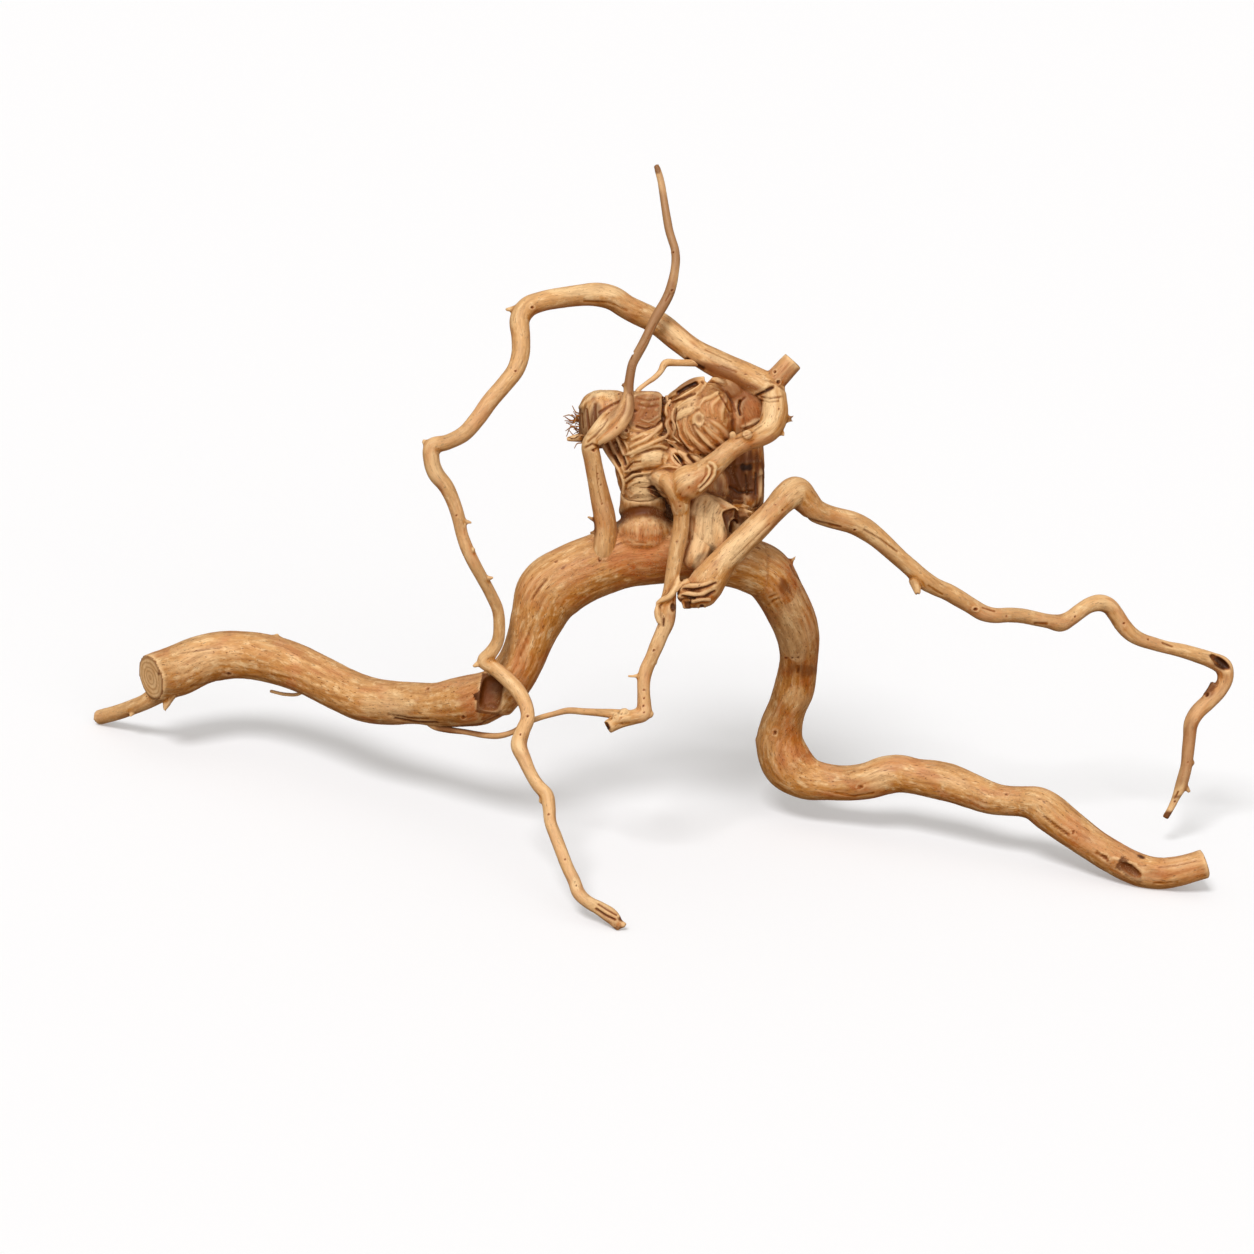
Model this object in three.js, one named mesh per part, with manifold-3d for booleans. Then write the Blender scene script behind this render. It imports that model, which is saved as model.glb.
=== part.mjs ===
// Aquarium driftwood: one root of spider wood, grown as a single piece and standing on three points.
// Millimetres, +Z up. The side that faces the glass of the tank faces -Y.
//
// Every limb is a route of stations read off an upright sheet that hangs behind the wood:
//   [across, up, toward the viewer, radius]
// with the sheet's middle at 0, 0, 0. Stations nearer the viewer look larger, so a station's place
// on the sheet is drawn in towards the line of sight by its nearness. The sheet is then tipped until
// the three feet touch one floor.
import * as THREE from 'three';
import { mergeVertices } from 'three/addons/utils/BufferGeometryUtils.js';
import Module from 'manifold-3d';

const wasm = await Module();
wasm.setup();

// ------------------------------------------------------------------ size and stance

const SHEET_SCALE = 0.958;      // one sheet unit in mm, so the wood measures 480 mm across
const VIEW_DISTANCE = 1500;     // from the eye to the sheet, in sheet units
const FEET = {                  // lowest points of the three feet on the sheet
  front: [-3, -128.2, 85],
  right: [224, -110.5, -6.3],
  left: [-223, -40.9, -76.8],
};
const FOOT_FLAT = 0.3;          // how far above that plane the worn flats of the feet lie
const PLAN_CENTRE = [7.5, 83.3];  // middle of the piece's plan, taken as the origin

const WOOD = new THREE.MeshStandardMaterial({ color: 0xc08a55, roughness: 0.72, metalness: 0 });

// ------------------------------------------------------------------ the thick wood

// Fallen log that leaves the trunk to the left. Its end is sawn off square.
const LOG = [
  [-54, -27, 20, 10], [-62, -30.4, 14, 11], [-70, -31.6, 8, 10.5], [-80, -32.7, 1, 9.4], [-90, -32.1, -7, 9],
  [-100, -31.9, -14, 9.5], [-110, -30.5, -21, 9.8], [-120, -26.5, -28, 9.6], [-130, -21.3, -35, 9.6],
  [-140, -16.7, -41, 9.8], [-150, -13.6, -46, 10], [-160, -12, -50, 10], [-170, -12, -52, 10.3],
  [-180, -14.1, -51.5, 10.5], [-190, -18.4, -48, 10.8], [-201, -21.4, -40.5, 10],
];

// Rooty stub behind the sawn end. It comes down to the floor and is the left foot.
const LEFT_STUB = [
  [-190, -22, -50, 6], [-197, -27.5, -53, 4.6], [-202, -31, -56, 3.6], [-208, -33.6, -62, 3.4],
  [-215, -36.1, -69, 3.3], [-223, -38.2, -76.5, 3.2],
];

// Trunk: up from the log in an arch, then level behind the thin limbs to the right leg.
const TRUNK = [
  [-57, -31, 17, 10], [-50, -22.5, 20, 10], [-45, -15, 22, 9.5], [-41, -5, 24, 10], [-38, 3, 25, 11.5],
  [-32.5, 14.7, 26, 14.2], [-22, 22, 26, 13.6], [-10, 27, 26, 13.5], [0, 31, 26, 14.4], [11, 32, 26, 14.2],
  [23, 31.5, 26, 13.2], [35, 30.5, 25, 12.4], [47, 28, 23, 11.8], [57.5, 23.5, 19, 11.2],
];

// Right leg: down the back, round a heavy bend, and out along the floor to a sawn end.
const RIGHT_LEG = [
  [47, 29, 23, 10], [58, 23.5, 19, 11.2], [65.3, 13, 11, 10.1], [70.2, 3, 2, 9.6], [72.3, -5, -6, 8.9],
  [72.5, -12, -12, 8.2], [71.8, -19, -18, 8.2], [70.4, -26, -23, 8.6], [67.5, -34, -28, 8], [65, -42, -33, 9],
  [64.6, -49.5, -36, 10.2], [68.5, -58.3, -38, 10.9], [76, -63.8, -37, 9.2], [85, -65.4, -35, 7.8],
  [95, -65.8, -33, 7.6], [102, -64.8, -31, 7.9], [109, -62.5, -30, 8.2], [115, -61.8, -29, 8],
  [122, -63.1, -27, 7.5], [130, -64.4, -25, 8], [137, -66, -23, 7.9], [145, -69, -21, 7.3],
  [153, -72, -19, 6.9], [160, -73.2, -17, 6.4], [167, -73.6, -16, 6.6], [173, -74.8, -14, 7.7],
  [178, -78, -13, 8.3], [184, -82.6, -12, 7.9], [191, -87.7, -11, 7.4], [198, -92.7, -9, 7], [205, -97, -8, 7],
  [212, -100.8, -7, 7], [219, -103.3, -6.5, 7], [226, -103.9, -6, 6.7], [233, -102.8, -4, 6.4],
  [239, -101.2, -2, 6.1], [243.8, -99.4, 0, 6],
];

// Neck between the trunk and the root crown. It is thinnest at an old saw cut.
const NECK = [
  [8, 34, 28, 13], [8, 43.8, 29, 12.6], [7.6, 45.2, 29.6, 10.6], [7.2, 49.4, 30.6, 10.2], [6.8, 51, 32.4, 11],
  [6.3, 57, 34.6, 10.2], [6, 64, 37, 10.6], [6.4, 72, 39, 12], [8, 82, 41, 12],
];

// Sawn stump at the back of the crown.
const BACK_STUMP = [[49, 84, 31, 9], [48.3, 76.5, 30, 9.4], [48, 66, 27, 10], [48, 55, 24, 9.8], [47, 40, 22, 9]];

// ------------------------------------------------------------------ the thin limbs

// Long limb from the crown's top right: over to the left, down in an open hoop to the front foot.
const HOOP = [
  [60, 100.8, 43, 6.2], [54, 103.6, 42, 6.2], [48, 106.4, 41, 6.1], [42, 109, 40, 6], [36, 112, 39, 5.8],
  [30, 115.2, 38, 5.4], [25, 118.6, 37, 5.2], [20, 122.6, 36, 5.4], [15, 126.8, 35, 5.4], [10, 130, 35, 5.3],
  [5, 132.4, 35, 5.3], [0, 134.9, 36, 5.1], [-6, 138.7, 37, 5.2], [-12, 140.2, 38, 5.1], [-20, 139.9, 41, 4.6],
  [-28, 138.8, 44, 4.4], [-36, 137.3, 47, 4.3], [-41.8, 135, 49, 4.4], [-45.2, 130, 51, 4.3],
  [-44.8, 122, 53, 4], [-44.9, 115, 55, 3.9], [-47, 108.5, 57, 3.8], [-52, 102, 59, 3.6], [-58, 95, 60, 3.6],
  [-63, 88, 61, 3.5], [-69, 81.4, 62, 3.4], [-76, 77.9, 62, 3.3], [-82, 76, 62, 3.7], [-82.4, 70, 62, 3.5],
  [-80.5, 64.5, 62, 3.5], [-76.5, 59.5, 61, 3.3], [-73.3, 53, 60, 3], [-71, 46, 59, 2.9], [-69.8, 40, 58, 2.7],
  [-67.8, 34, 57, 2.8], [-64.8, 27.5, 55, 2.7], [-61, 20.5, 51, 2.6], [-57.5, 14, 47, 2.6],
  [-54.5, 7, 43, 2.6], [-53.9, 0, 40, 2.6], [-54.6, -6, 38, 2.7], [-57.5, -11, 37, 2.9], [-60.2, -14.3, 36.6, 3.1],
  [-56, -17.3, 36.6, 3], [-51, -21.5, 37.4, 3.2], [-46, -27, 40, 3.3], [-42.7, -33, 43.5, 3.1],
  [-41.9, -38.5, 47, 3.1], [-44, -44, 51, 3.2], [-45.6, -49.7, 54, 3.5], [-43.2, -56, 57, 3],
  [-40.5, -62, 60, 2.7], [-37.5, -66.8, 62, 2.8], [-33.8, -71, 64, 3], [-32.8, -76, 66, 2.8],
  [-32.3, -82, 68, 2.6], [-30, -88.5, 71, 2.7], [-27.5, -95, 74, 2.7], [-25, -101.5, 76, 2.7],
  [-22.3, -107, 78, 2.8], [-20.3, -112.3, 80, 2.9], [-16.5, -116, 82, 2.7], [-11.5, -118.8, 83, 3],
  [-7, -121.8, 84, 3.3], [-4, -124.6, 84.6, 2.5],
];

// Limb that turns over at the crown's right, crosses it and hangs down the middle to a heel and foot.
const MID_LIMB = [
  [55, 102.5, 42, 5.6], [60.5, 100.5, 43, 5.6], [62.3, 95, 44.5, 5.4], [62.2, 89, 46, 5.8], [60, 83.6, 48, 5.3],
  [55.6, 80.4, 50, 4.7], [50, 78.2, 51, 4.3], [44, 74.8, 52, 4.2], [38, 69.6, 53, 4.6], [31.5, 64.2, 52, 6],
  [24.8, 60.2, 50, 7.4], [22.3, 55, 48, 5.2], [22.9, 49.5, 46.6, 3.7], [22.7, 42, 45.4, 3.5], [21, 33, 45, 3.5],
  [19.3, 23, 44.4, 3.2], [18, 15, 44, 3], [16.9, 8, 43.6, 3.9], [16.8, 2.3, 43.4, 3.4], [14.6, -3, 43.4, 3.1],
  [12.5, -8, 43.6, 3.1], [10.4, -13, 44, 2.9], [8.1, -18, 44, 3], [7.1, -22.5, 44.4, 2.9], [7, -28, 45, 2.8],
  [7.2, -33, 45.5, 3.1], [7, -36.3, 46, 3.4], [2.6, -37.9, 46, 3.3], [-2, -38.9, 46, 3.5],
  [-5.5, -40.6, 46.5, 3.2], [-8.4, -42.4, 47, 2.9],
];

// Long limb to the right from a gnarled knob: over a knee, away and down to a thin drooping tip.
const RIGHT_LIMB = [
  [30.5, 12.6, 42, 6.6], [33, 17.4, 42.4, 7.6], [36.5, 22.4, 42.2, 6.9], [40.5, 27.6, 41.8, 6], [45, 32.3, 41.5, 5.7],
  [50, 37.3, 41.5, 5.6], [55.5, 42.8, 41, 5.5], [62, 49.4, 39, 5.4], [67, 54.6, 36.5, 6.1], [71.3, 57, 34, 6.6],
  [75, 53.6, 32, 5.9], [79.4, 49.2, 30, 5], [85, 46.7, 27, 4.7], [90, 45.3, 25, 4.7], [95, 44, 23, 4.8],
  [100, 41.6, 21, 4.7], [105, 38, 19, 4.3], [110, 33.6, 16.5, 4], [115, 29, 14, 3.7], [120, 24.6, 11.5, 3.7],
  [125, 20, 9, 4], [130, 17, 6.5, 3.7], [135, 14.8, 4, 3.7], [140, 12, 1.5, 3.7], [145, 9, -1, 3.5],
  [150, 6, -3.5, 3.5], [155, 4.8, -6, 3.3], [161, 5, -9, 3.2], [167, 4.6, -12, 3.2], [173, 3.4, -15, 3.1],
  [178, 2.4, -17.5, 3.1], [183, 1.7, -20, 3.7], [187, 3.6, -21.5, 3.3], [191, 6.6, -23, 3.3], [195, 9.2, -24.6, 3.4],
  [199.5, 10.2, -26, 3.7], [203.4, 8.8, -27.5, 3.6], [206.4, 5, -29, 3.5], [209, 1, -30.6, 3.5],
  [212.2, -2.6, -32, 3.3], [216.5, -5.2, -33.8, 3], [222, -7, -36, 2.9], [228, -8.7, -38, 2.8], [234, -10, -40.5, 3],
  [240, -11.8, -43, 3.2], [246, -13.8, -45, 3.4], [251.4, -16.6, -46.5, 3.8], [252.4, -21.4, -47.6, 3.3],
  [250, -26.5, -48.4, 3.2], [245.2, -31.4, -49, 3.4], [240.4, -36, -49, 3.3], [237.8, -40.8, -49, 3.1],
  [237.2, -46, -49, 2.8], [236.6, -52, -49, 2.7], [236, -58, -49, 2.5], [234.8, -63, -49, 2.6],
  [233.4, -67.5, -49, 2.5], [231.6, -71.6, -49, 1.8], [229.6, -76, -49.6, 1.5], [227, -80.6, -50, 1.4],
];

// Strut in front of the trunk. At the crown it bends right and thins into the tall top twig.
const STRUT = [
  [-9.5, 28, 31, 6.2], [-9.3, 33, 35.5, 5.2], [-9, 40, 38, 4.8], [-9.6, 47, 40, 4.7], [-11.3, 55, 43, 4.3],
  [-13, 63, 46, 3.9], [-14.6, 71, 49, 3.8], [-15.7, 76.8, 51, 4.2], [-13.6, 80.6, 52, 4.4], [-9.4, 84.4, 52.6, 4.5],
  [-5, 88.4, 52.6, 4.4], [-1.6, 92.4, 52.2, 3.7], [0.3, 97, 51.6, 2.6], [0.8, 102, 51, 2.1], [1.5, 107, 50.6, 2],
  [2.4, 111, 50.2, 2], [4.5, 115.2, 50, 2.1], [6.9, 119.6, 49.6, 2.1], [9, 124, 49, 2], [11.2, 128.8, 48.4, 2.1],
  [13.6, 133, 47.8, 2.2], [16, 137, 47, 2.2], [17.9, 141, 46.4, 2.2], [19.2, 145.4, 45.6, 2.1], [20.1, 150, 45, 1.9],
  [20.6, 155, 44, 1.9], [20.2, 159.4, 43, 1.8], [19, 163.2, 42, 1.8], [17.8, 167.2, 41, 1.8], [17, 171.4, 40, 1.8],
  [16.2, 176.2, 39, 1.7], [15.3, 182, 37.6, 1.6], [14.3, 188, 36, 1.5], [13.1, 192.4, 35, 1.2], [12.2, 195, 34.4, 0.7],
];

// Thin root that runs under the arch from the log's belly to the foot of the middle limb.
const UNDER_ROOT = [
  [-85, -39, -2, 1.7], [-81, -42.2, 2, 1.3], [-75, -43.4, 6, 1.4], [-68, -44.3, 10, 1.2], [-60, -45.7, 14, 1.3],
  [-54, -45.9, 17, 1.3], [-48, -44.2, 21, 1.2], [-42, -40.4, 25, 1.2], [-36.5, -38.2, 29, 1.2],
  [-31, -36.7, 32, 1.2], [-25, -35.3, 35, 1.4], [-18, -35.7, 39, 1.5], [-12, -36.1, 42, 1.7],
  [-6, -36.6, 44.6, 2.1], [0, -37.4, 46, 2.5],
];

// Kinked twig between the hoop and the cut block on the crown.
const BROKEN_TWIG = [
  [33, 111.6, 38, 2], [27, 111.4, 40.5, 1.6], [21, 111.4, 43, 1.5], [16.2, 111.2, 45, 1.7], [14, 107.6, 46, 1.3],
  [11.4, 105, 46.6, 1.2], [8, 102.6, 47.2, 1], [4.6, 99.6, 48, 1.1], [4, 96.4, 48, 1.4],
];

// ------------------------------------------------------------------ the root crown

// Burls and sawn blocks: [centre across, up, toward], [half sizes], squareness (1 is a ball).
const LOBES = [
  { at: [-8.4, 87.6, 38], half: [12, 12.4, 11.6], square: 0.72 },   // left lobe
  { at: [7.6, 89, 42], half: [8.6, 10.6, 10], square: 0.5 },        // sawn block under the twig
  { at: [31, 87.8, 42], half: [13.8, 15.4, 12.8], square: 0.84 },   // round burl
  { at: [47.6, 92, 35], half: [12, 13, 10.4], square: 0.78 },       // web under the hoop's root
  { at: [14, 83, 37], half: [25, 12.6, 12], square: 0.8 },          // core between the lobes
  { at: [20, 67, 37], half: [17, 14.6, 12], square: 0.86 },         // core over the neck
  { at: [34, 44, 31], half: [10, 13.4, 11.6], square: 0.8 },        // pale bulge over the trunk
  { at: [47.6, 62.5, 25], half: [10.2, 14, 10.6], square: 0.5 },    // back stump's sawn sides
  { at: [29.6, 14.4, 42], half: [8.6, 6.4, 7], square: 0.8 },       // knob under the right limb
];

// Roots that wrap the crown, each sunk about half into it.
const ROOT_RISE = 1.2;            // how far the whole set is lifted toward the viewer
const WRAPPED_ROOTS = [
  [[-1.4, 73, 47, 1.5], [1.4, 76, 49.6, 1.7], [5.4, 78.4, 51, 1.9], [10, 81, 52, 1.9], [14.6, 84.6, 52.6, 1.6], [17, 89, 51.6, 1.3]],
  [[1, 70.4, 47.6, 1.5], [5, 73, 49.6, 1.8], [10, 75.8, 50.8, 2.1], [15, 77, 51.6, 2], [20, 76.4, 51.6, 1.7], [25, 73.8, 51.8, 1.6], [30, 72, 52, 1.4], [35, 70.8, 52, 1.3]],
  [[-1.6, 60.4, 43, 1.5], [3, 63, 46.6, 1.7], [8, 64.6, 48, 1.8], [12.6, 66.8, 48.8, 1.8], [17, 68.2, 49.2, 1.6], [21, 67.4, 48.6, 1.6]],
  [[2, 67.6, 46.6, 2], [7, 70, 48.6, 2.6], [12.6, 72, 49.4, 2.6], [18, 72.4, 49, 2]],
  [[-11.4, 79.4, 46, 1.5], [-8, 75.4, 45, 1.9], [-5, 70.6, 43.6, 1.9], [-2.4, 65.4, 42.6, 1.8], [-1, 60, 41, 1.6], [-1.4, 54, 39, 1.4], [-3, 48.6, 37, 1.2]],
  [[16.4, 97.6, 45, 1.7], [17, 92, 48, 1.6], [18, 86.6, 49.6, 1.5], [18.6, 81, 50.4, 1.4], [21.6, 77.4, 51, 1.4], [25.4, 74.4, 51.4, 1.3]],
  [[1.4, 56, 42, 1.2], [5, 57.2, 44.4, 1.4], [9, 57, 45, 1.4], [13, 54.6, 44, 1.4], [17, 50.4, 41, 1.2]],
  [[19.6, 98.4, 44, 2.2], [23, 100.8, 43.6, 2.4], [27.4, 103, 42.6, 2.3], [32, 105.2, 41, 2.2], [37, 105.6, 40.6, 2]],
  [[13.4, 10.4, 46, 1.2], [17.6, 13, 46.6, 1.4], [21, 17.6, 46, 1.6], [23, 22, 43.6, 1.5], [27, 25.6, 40, 1.4]],
  [[25, 96.6, 50, 1.3], [31, 98, 50.6, 1.4], [36.6, 96, 49.6, 1.4], [40.6, 91, 48, 1.4], [42.4, 85, 47, 1.3]],
];

// Spurs, nubs and splinters: [root, tip, radius at root, radius at tip].
const SPURS = [
  [[-148.4, -6.4, -46], [-147.4, -2.6, -46], 2.1, 1],            // nub on the log's back
  [[-192.6, -27.6, -43], [-195.2, -35.4, -42], 3.2, 0.9],        // heel under the sawn end
  [[-206.6, -33, -60.5], [-209.6, -38, -59.5], 1.8, 0.8],        // nub on the left stub
  [[-78.4, -39, 3], [-78, -42.4, 4], 2.2, 1.1],                  // knob on the log's belly
  [[-41, 134.8, 49], [-51.4, 133.8, 50], 2.8, 0.7],              // point at the hoop's shoulder
  [[-80, 75, 62], [-86.4, 78.6, 62], 3, 0.9],                    // point at the hoop's elbow
  [[-71, 45, 59], [-65.2, 44, 59.4], 1.5, 0.6],
  [[-67, 33.2, 57], [-64.2, 32.2, 58], 1.9, 1],
  [[-61, 20.4, 51.4], [-56.2, 20.8, 52], 1.4, 0.6],
  [[-59, -13.4, 37], [-65, -16.8, 37.4], 2.3, 0.7],              // point at the hoop's kink
  [[-34.6, -71.4, 63.8], [-37, -74, 64.4], 1.9, 0.9],
  [[-7, -121.4, 84], [-2.6, -121.6, 86], 1.7, 0.6],              // splintered front foot
  [[-6, -123, 84.4], [0, -126, 85.6], 1.8, 0.6],
  [[-6, -123.4, 84.4], [-3.2, -127.6, 85], 2.5, 1.2],
  [[-11, 43.4, 39.6], [-16.6, 46.6, 38], 1.2, 0.5],              // spurs on the strut
  [[-11, 41, 39], [-15.6, 39.6, 38.4], 1, 0.5],
  [[0.6, 101.4, 51], [-2.3, 102.2, 51.4], 1.2, 0.7],
  [[61.6, 103, 43], [70.1, 112.3, 43.6], 4.9, 4.5],              // sawn stub on the crown's right
  [[66, 88.2, 46], [70.6, 88, 46.6], 1.8, 0.9],
  [[63, 82, 47.6], [66.6, 80.4, 48], 1.6, 0.8],
  [[45.4, 78, 52], [44.9, 82.2, 53], 1.9, 1.4],
  [[51.4, 79, 51], [50.6, 83, 52.2], 2.3, 1.6],
  [[6, -20.6, 44.6], [0.4, -20.8, 45], 0.8, 0.55],               // side twig of the middle limb
  [[10.4, -13.4, 44.4], [12.8, -15.4, 44.6], 1.3, 0.5],
  [[7.6, -35.8, 46], [11, -37.4, 46.2], 2.6, 1.2],               // heel
  [[67, 25.6, 17], [71.8, 30.2, 18], 1.9, 0.5],                  // spur on the right leg
  [[60, -48, -36], [54.4, -49.4, -36], 5.4, 2.4],                // lump inside the bend
  [[71, 57, 34], [73.2, 62.9, 34], 4.6, 1.9],                    // crest of the knee
  [[121.4, 20, 11], [122.8, 13.6, 12], 2.9, 1.2],                // thorn under the right limb
  [[234.6, -66, -49], [237.4, -69.8, -49], 1.6, 0.7],
  [[236.8, -56.6, -49], [239.4, -57.6, -48.6], 1.3, 0.8],
  [[248, -24, -48], [243.2, -29.2, -48], 2.4, 0.9],
  [[25, 13, 44.6], [25.4, 7.7, 45], 2.3, 1.9],                   // peg under the knob
  [[36, 51, 39], [53.4, 48.8, 44.4], 3.4, 0.7],                  // splinters over the pale bulge
  [[46, 55.4, 36], [53.2, 50.8, 42.6], 2.6, 0.9],
  [[47, 44.4, 36], [52.4, 47.6, 42.6], 2.2, 0.9],
  [[-18, 80.2, 38], [-25.4, 79.2, 38], 2.4, 0.9],                // bark point on the left lobe
];

// Thin stray root under the log.
const STRAY_ROOT = [[-134, -23, -37, 1.1], [-138, -28, -42, 0.8], [-144, -28.4, -47, 0.8], [-150.4, -27, -51, 0.7]];

// Hollows and rot holes: centre, half sizes, and a turn in the sheet in degrees.
const HOLLOWS = [
  { at: [-59.4, -28.4, 29], half: [3.2, 8, 6.5], turn: -14 },     // where the log leaves the trunk
  { at: [212.2, -102.4, 1.4], half: [5.6, 2.6, 4.6], turn: -38 }, // long hole above the right foot
  { at: [251.2, -14.8, -42.6], half: [4.6, 1.7, 2], turn: -28 },  // bark hole at the right limb's elbow
  { at: [19.6, 8, 47.2], half: [1.5, 2.6, 1.8], turn: 10 },       // hollow of the knuckle
  { at: [31.4, 8.6, 48], half: [1.7, 1.5, 2.4], turn: 0 },        // hole in the knob
  { at: [45.6, 42, 40], half: [3.2, 2.2, 3], turn: 40 },          // gap beside the pale bulge
];
const BROKEN_END = { from: [-6.4, -41.1, 46.7], to: [-9.6, -43.2, 47.2], radius: 1.9 };  // hollow foot end

// ------------------------------------------------------------------ geometry

// A sheet point in millimetres, drawn in towards the line of sight by its nearness.
function onSheet([across, up, toward]) {
  const near = 1 - toward / VIEW_DISTANCE;
  return new THREE.Vector3(across * near, up * near, toward).multiplyScalar(SHEET_SCALE);
}

function sizeAt(radius, toward) {
  return radius * SHEET_SCALE * (1 - toward / VIEW_DISTANCE);
}

function solid(geometry) {
  geometry.deleteAttribute('normal');
  geometry.deleteAttribute('uv');
  const merged = mergeVertices(geometry, 1e-4);
  return new wasm.Manifold(new wasm.Mesh({
    numProp: 3,
    vertProperties: new Float32Array(merged.attributes.position.array),
    triVerts: new Uint32Array(merged.index.array),
  }));
}

// A capped cylinder bent along a route. The section swells and flattens a little along the way, as
// grown wood does; `grain` sets by how much.
function limb(route, sides, split = 1, grain = 0.05) {
  const curve = new THREE.CatmullRomCurve3(route.map(onSheet), false, 'centripetal');
  const steps = (route.length - 1) * split;
  const rings = [];
  let side = new THREE.Vector3(0.31, 0.17, 0.93);
  for (let i = 0; i <= steps; i++) {
    const along = curve.getTangent(i / steps);
    side = side.clone().addScaledVector(along, -side.dot(along)).normalize();
    const [a, b] = [route[Math.floor(i / split)], route[Math.min(Math.ceil(i / split), route.length - 1)]];
    const mix = (i % split) / split;
    rings.push({
      centre: curve.getPoint(i / steps),
      across: side,
      over: along.clone().cross(side),
      radius: THREE.MathUtils.lerp(sizeAt(a[3], a[2]), sizeAt(b[3], b[2]), mix),
    });
  }
  const geometry = new THREE.CylinderGeometry(1, 1, 1, sides, steps);
  const at = geometry.attributes.position;
  for (let i = 0; i < at.count; i++) {
    const index = Math.round((0.5 - at.getY(i)) * steps);
    const ring = rings[index];
    const angle = Math.atan2(at.getZ(i), at.getX(i));
    const swell = 1 + grain * (Math.sin(2 * angle + 0.31 * index) + 0.6 * Math.sin(3 * angle - 0.47 * index));
    const out = Math.hypot(at.getX(i), at.getZ(i)) * ring.radius * swell;
    const p = ring.centre.clone()
      .addScaledVector(ring.across, out * Math.cos(angle))
      .addScaledVector(ring.over, out * Math.sin(angle));
    at.setXYZ(i, p.x, p.y, p.z);
  }
  return solid(geometry);
}

// A ball pressed towards a block: a smaller `square` gives flatter sides.
function lobe({ at, half, square = 1, turn = 0 }, round = [13, 8]) {
  const geometry = new THREE.SphereGeometry(1, ...round);
  const middle = onSheet(at);
  const spin = new THREE.Matrix4().makeRotationZ(THREE.MathUtils.degToRad(turn));
  const press = (x) => Math.sign(x) * Math.abs(x) ** square;
  const p = geometry.attributes.position;
  for (let i = 0; i < p.count; i++) {
    const v = new THREE.Vector3(
      press(p.getX(i)) * sizeAt(half[0], at[2]),
      press(p.getY(i)) * sizeAt(half[1], at[2]),
      press(p.getZ(i)) * sizeAt(half[2], at[2]),
    ).applyMatrix4(spin).add(middle);
    p.setXYZ(i, v.x, v.y, v.z);
  }
  return solid(geometry);
}

function spur([root, tip, thick, thin]) {
  return limb([[...root, thick], [...tip, thin]], 5, 1, 0);
}

// The turn that stands the sheet up: the three feet come to z = 0, and -Y faces the viewer.
function stance() {
  const [front, right, left] = [FEET.front, FEET.right, FEET.left].map(onSheet);
  const up = right.clone().sub(front).cross(left.clone().sub(front)).normalize();
  const back = new THREE.Vector3(0, 0, -1).addScaledVector(up, up.z).normalize();
  const across = back.clone().cross(up);
  const turn = new THREE.Matrix4().makeBasis(across, back, up).transpose();
  return new THREE.Matrix4().makeTranslation(-PLAN_CENTRE[0], -PLAN_CENTRE[1], -FOOT_FLAT)
    .multiply(turn)
    .multiply(new THREE.Matrix4().makeTranslation(-front.x, -front.y, -front.z));
}

function toGeometry(manifold) {
  const { vertProperties, triVerts, numProp } = manifold.getMesh();
  const positions = new Float32Array((vertProperties.length / numProp) * 3);
  for (let i = 0; i < positions.length / 3; i++) {
    for (let k = 0; k < 3; k++) positions[3 * i + k] = vertProperties[numProp * i + k];
  }
  const geometry = new THREE.BufferGeometry();
  geometry.setAttribute('position', new THREE.BufferAttribute(positions, 3));
  geometry.setIndex(new THREE.BufferAttribute(new Uint32Array(triVerts), 1));
  return geometry;
}

// ------------------------------------------------------------------ one grown piece

const grown = [
  limb(LOG, 14), limb(LEFT_STUB, 7), limb(TRUNK, 14, 2), limb(RIGHT_LEG, 12), limb(NECK, 12),
  limb(BACK_STUMP, 10), limb(HOOP, 7), limb(MID_LIMB, 8), limb(RIGHT_LIMB, 7), limb(STRUT, 7),
  limb(UNDER_ROOT, 5), limb(BROKEN_TWIG, 5), limb(STRAY_ROOT, 4),
  ...LOBES.map((each) => lobe(each)),
  ...WRAPPED_ROOTS.map((route) => limb(route.map(([a, u, t, r]) => [a, u, t + ROOT_RISE, r]), 5)),
  ...SPURS.map(spur),
].reduce((all, each) => all.add(each));

const hollowed = [
  ...HOLLOWS.map((each) => lobe({ square: 0.8, ...each }, [10, 7])),
  limb([[...BROKEN_END.from, BROKEN_END.radius], [...BROKEN_END.to, BROKEN_END.radius]], 8, 1, 0),
].reduce((all, each) => all.subtract(each), grown);

// Stand it up, then wear the three feet flat where they pass below the floor.
const standing = toGeometry(hollowed).applyMatrix4(stance());
const below = new THREE.BoxGeometry(700, 700, 20).translate(0, 0, -10);
const worn = solid(standing).subtract(solid(below));

const driftwood = new THREE.Mesh(toGeometry(worn), WOOD);
driftwood.name = 'driftwood';

const part = new THREE.Group();
part.add(driftwood);

export default part;
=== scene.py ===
# %% [markdown]
# # Aquarium driftwood
# This lesson dresses one root of spider wood. The frame gives one closed solid that already has the
# right limbs, sizes and stance. Here the same limbs are swept again with many more faces, grown
# together, and given what the eye reads as dry root wood: grain, furrows, knots, rot holes, saw cuts
# and a streaky honey colour.

# %% Load the frame
import math

import bpy
import numpy as np
from mathutils import Matrix, Vector


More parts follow.
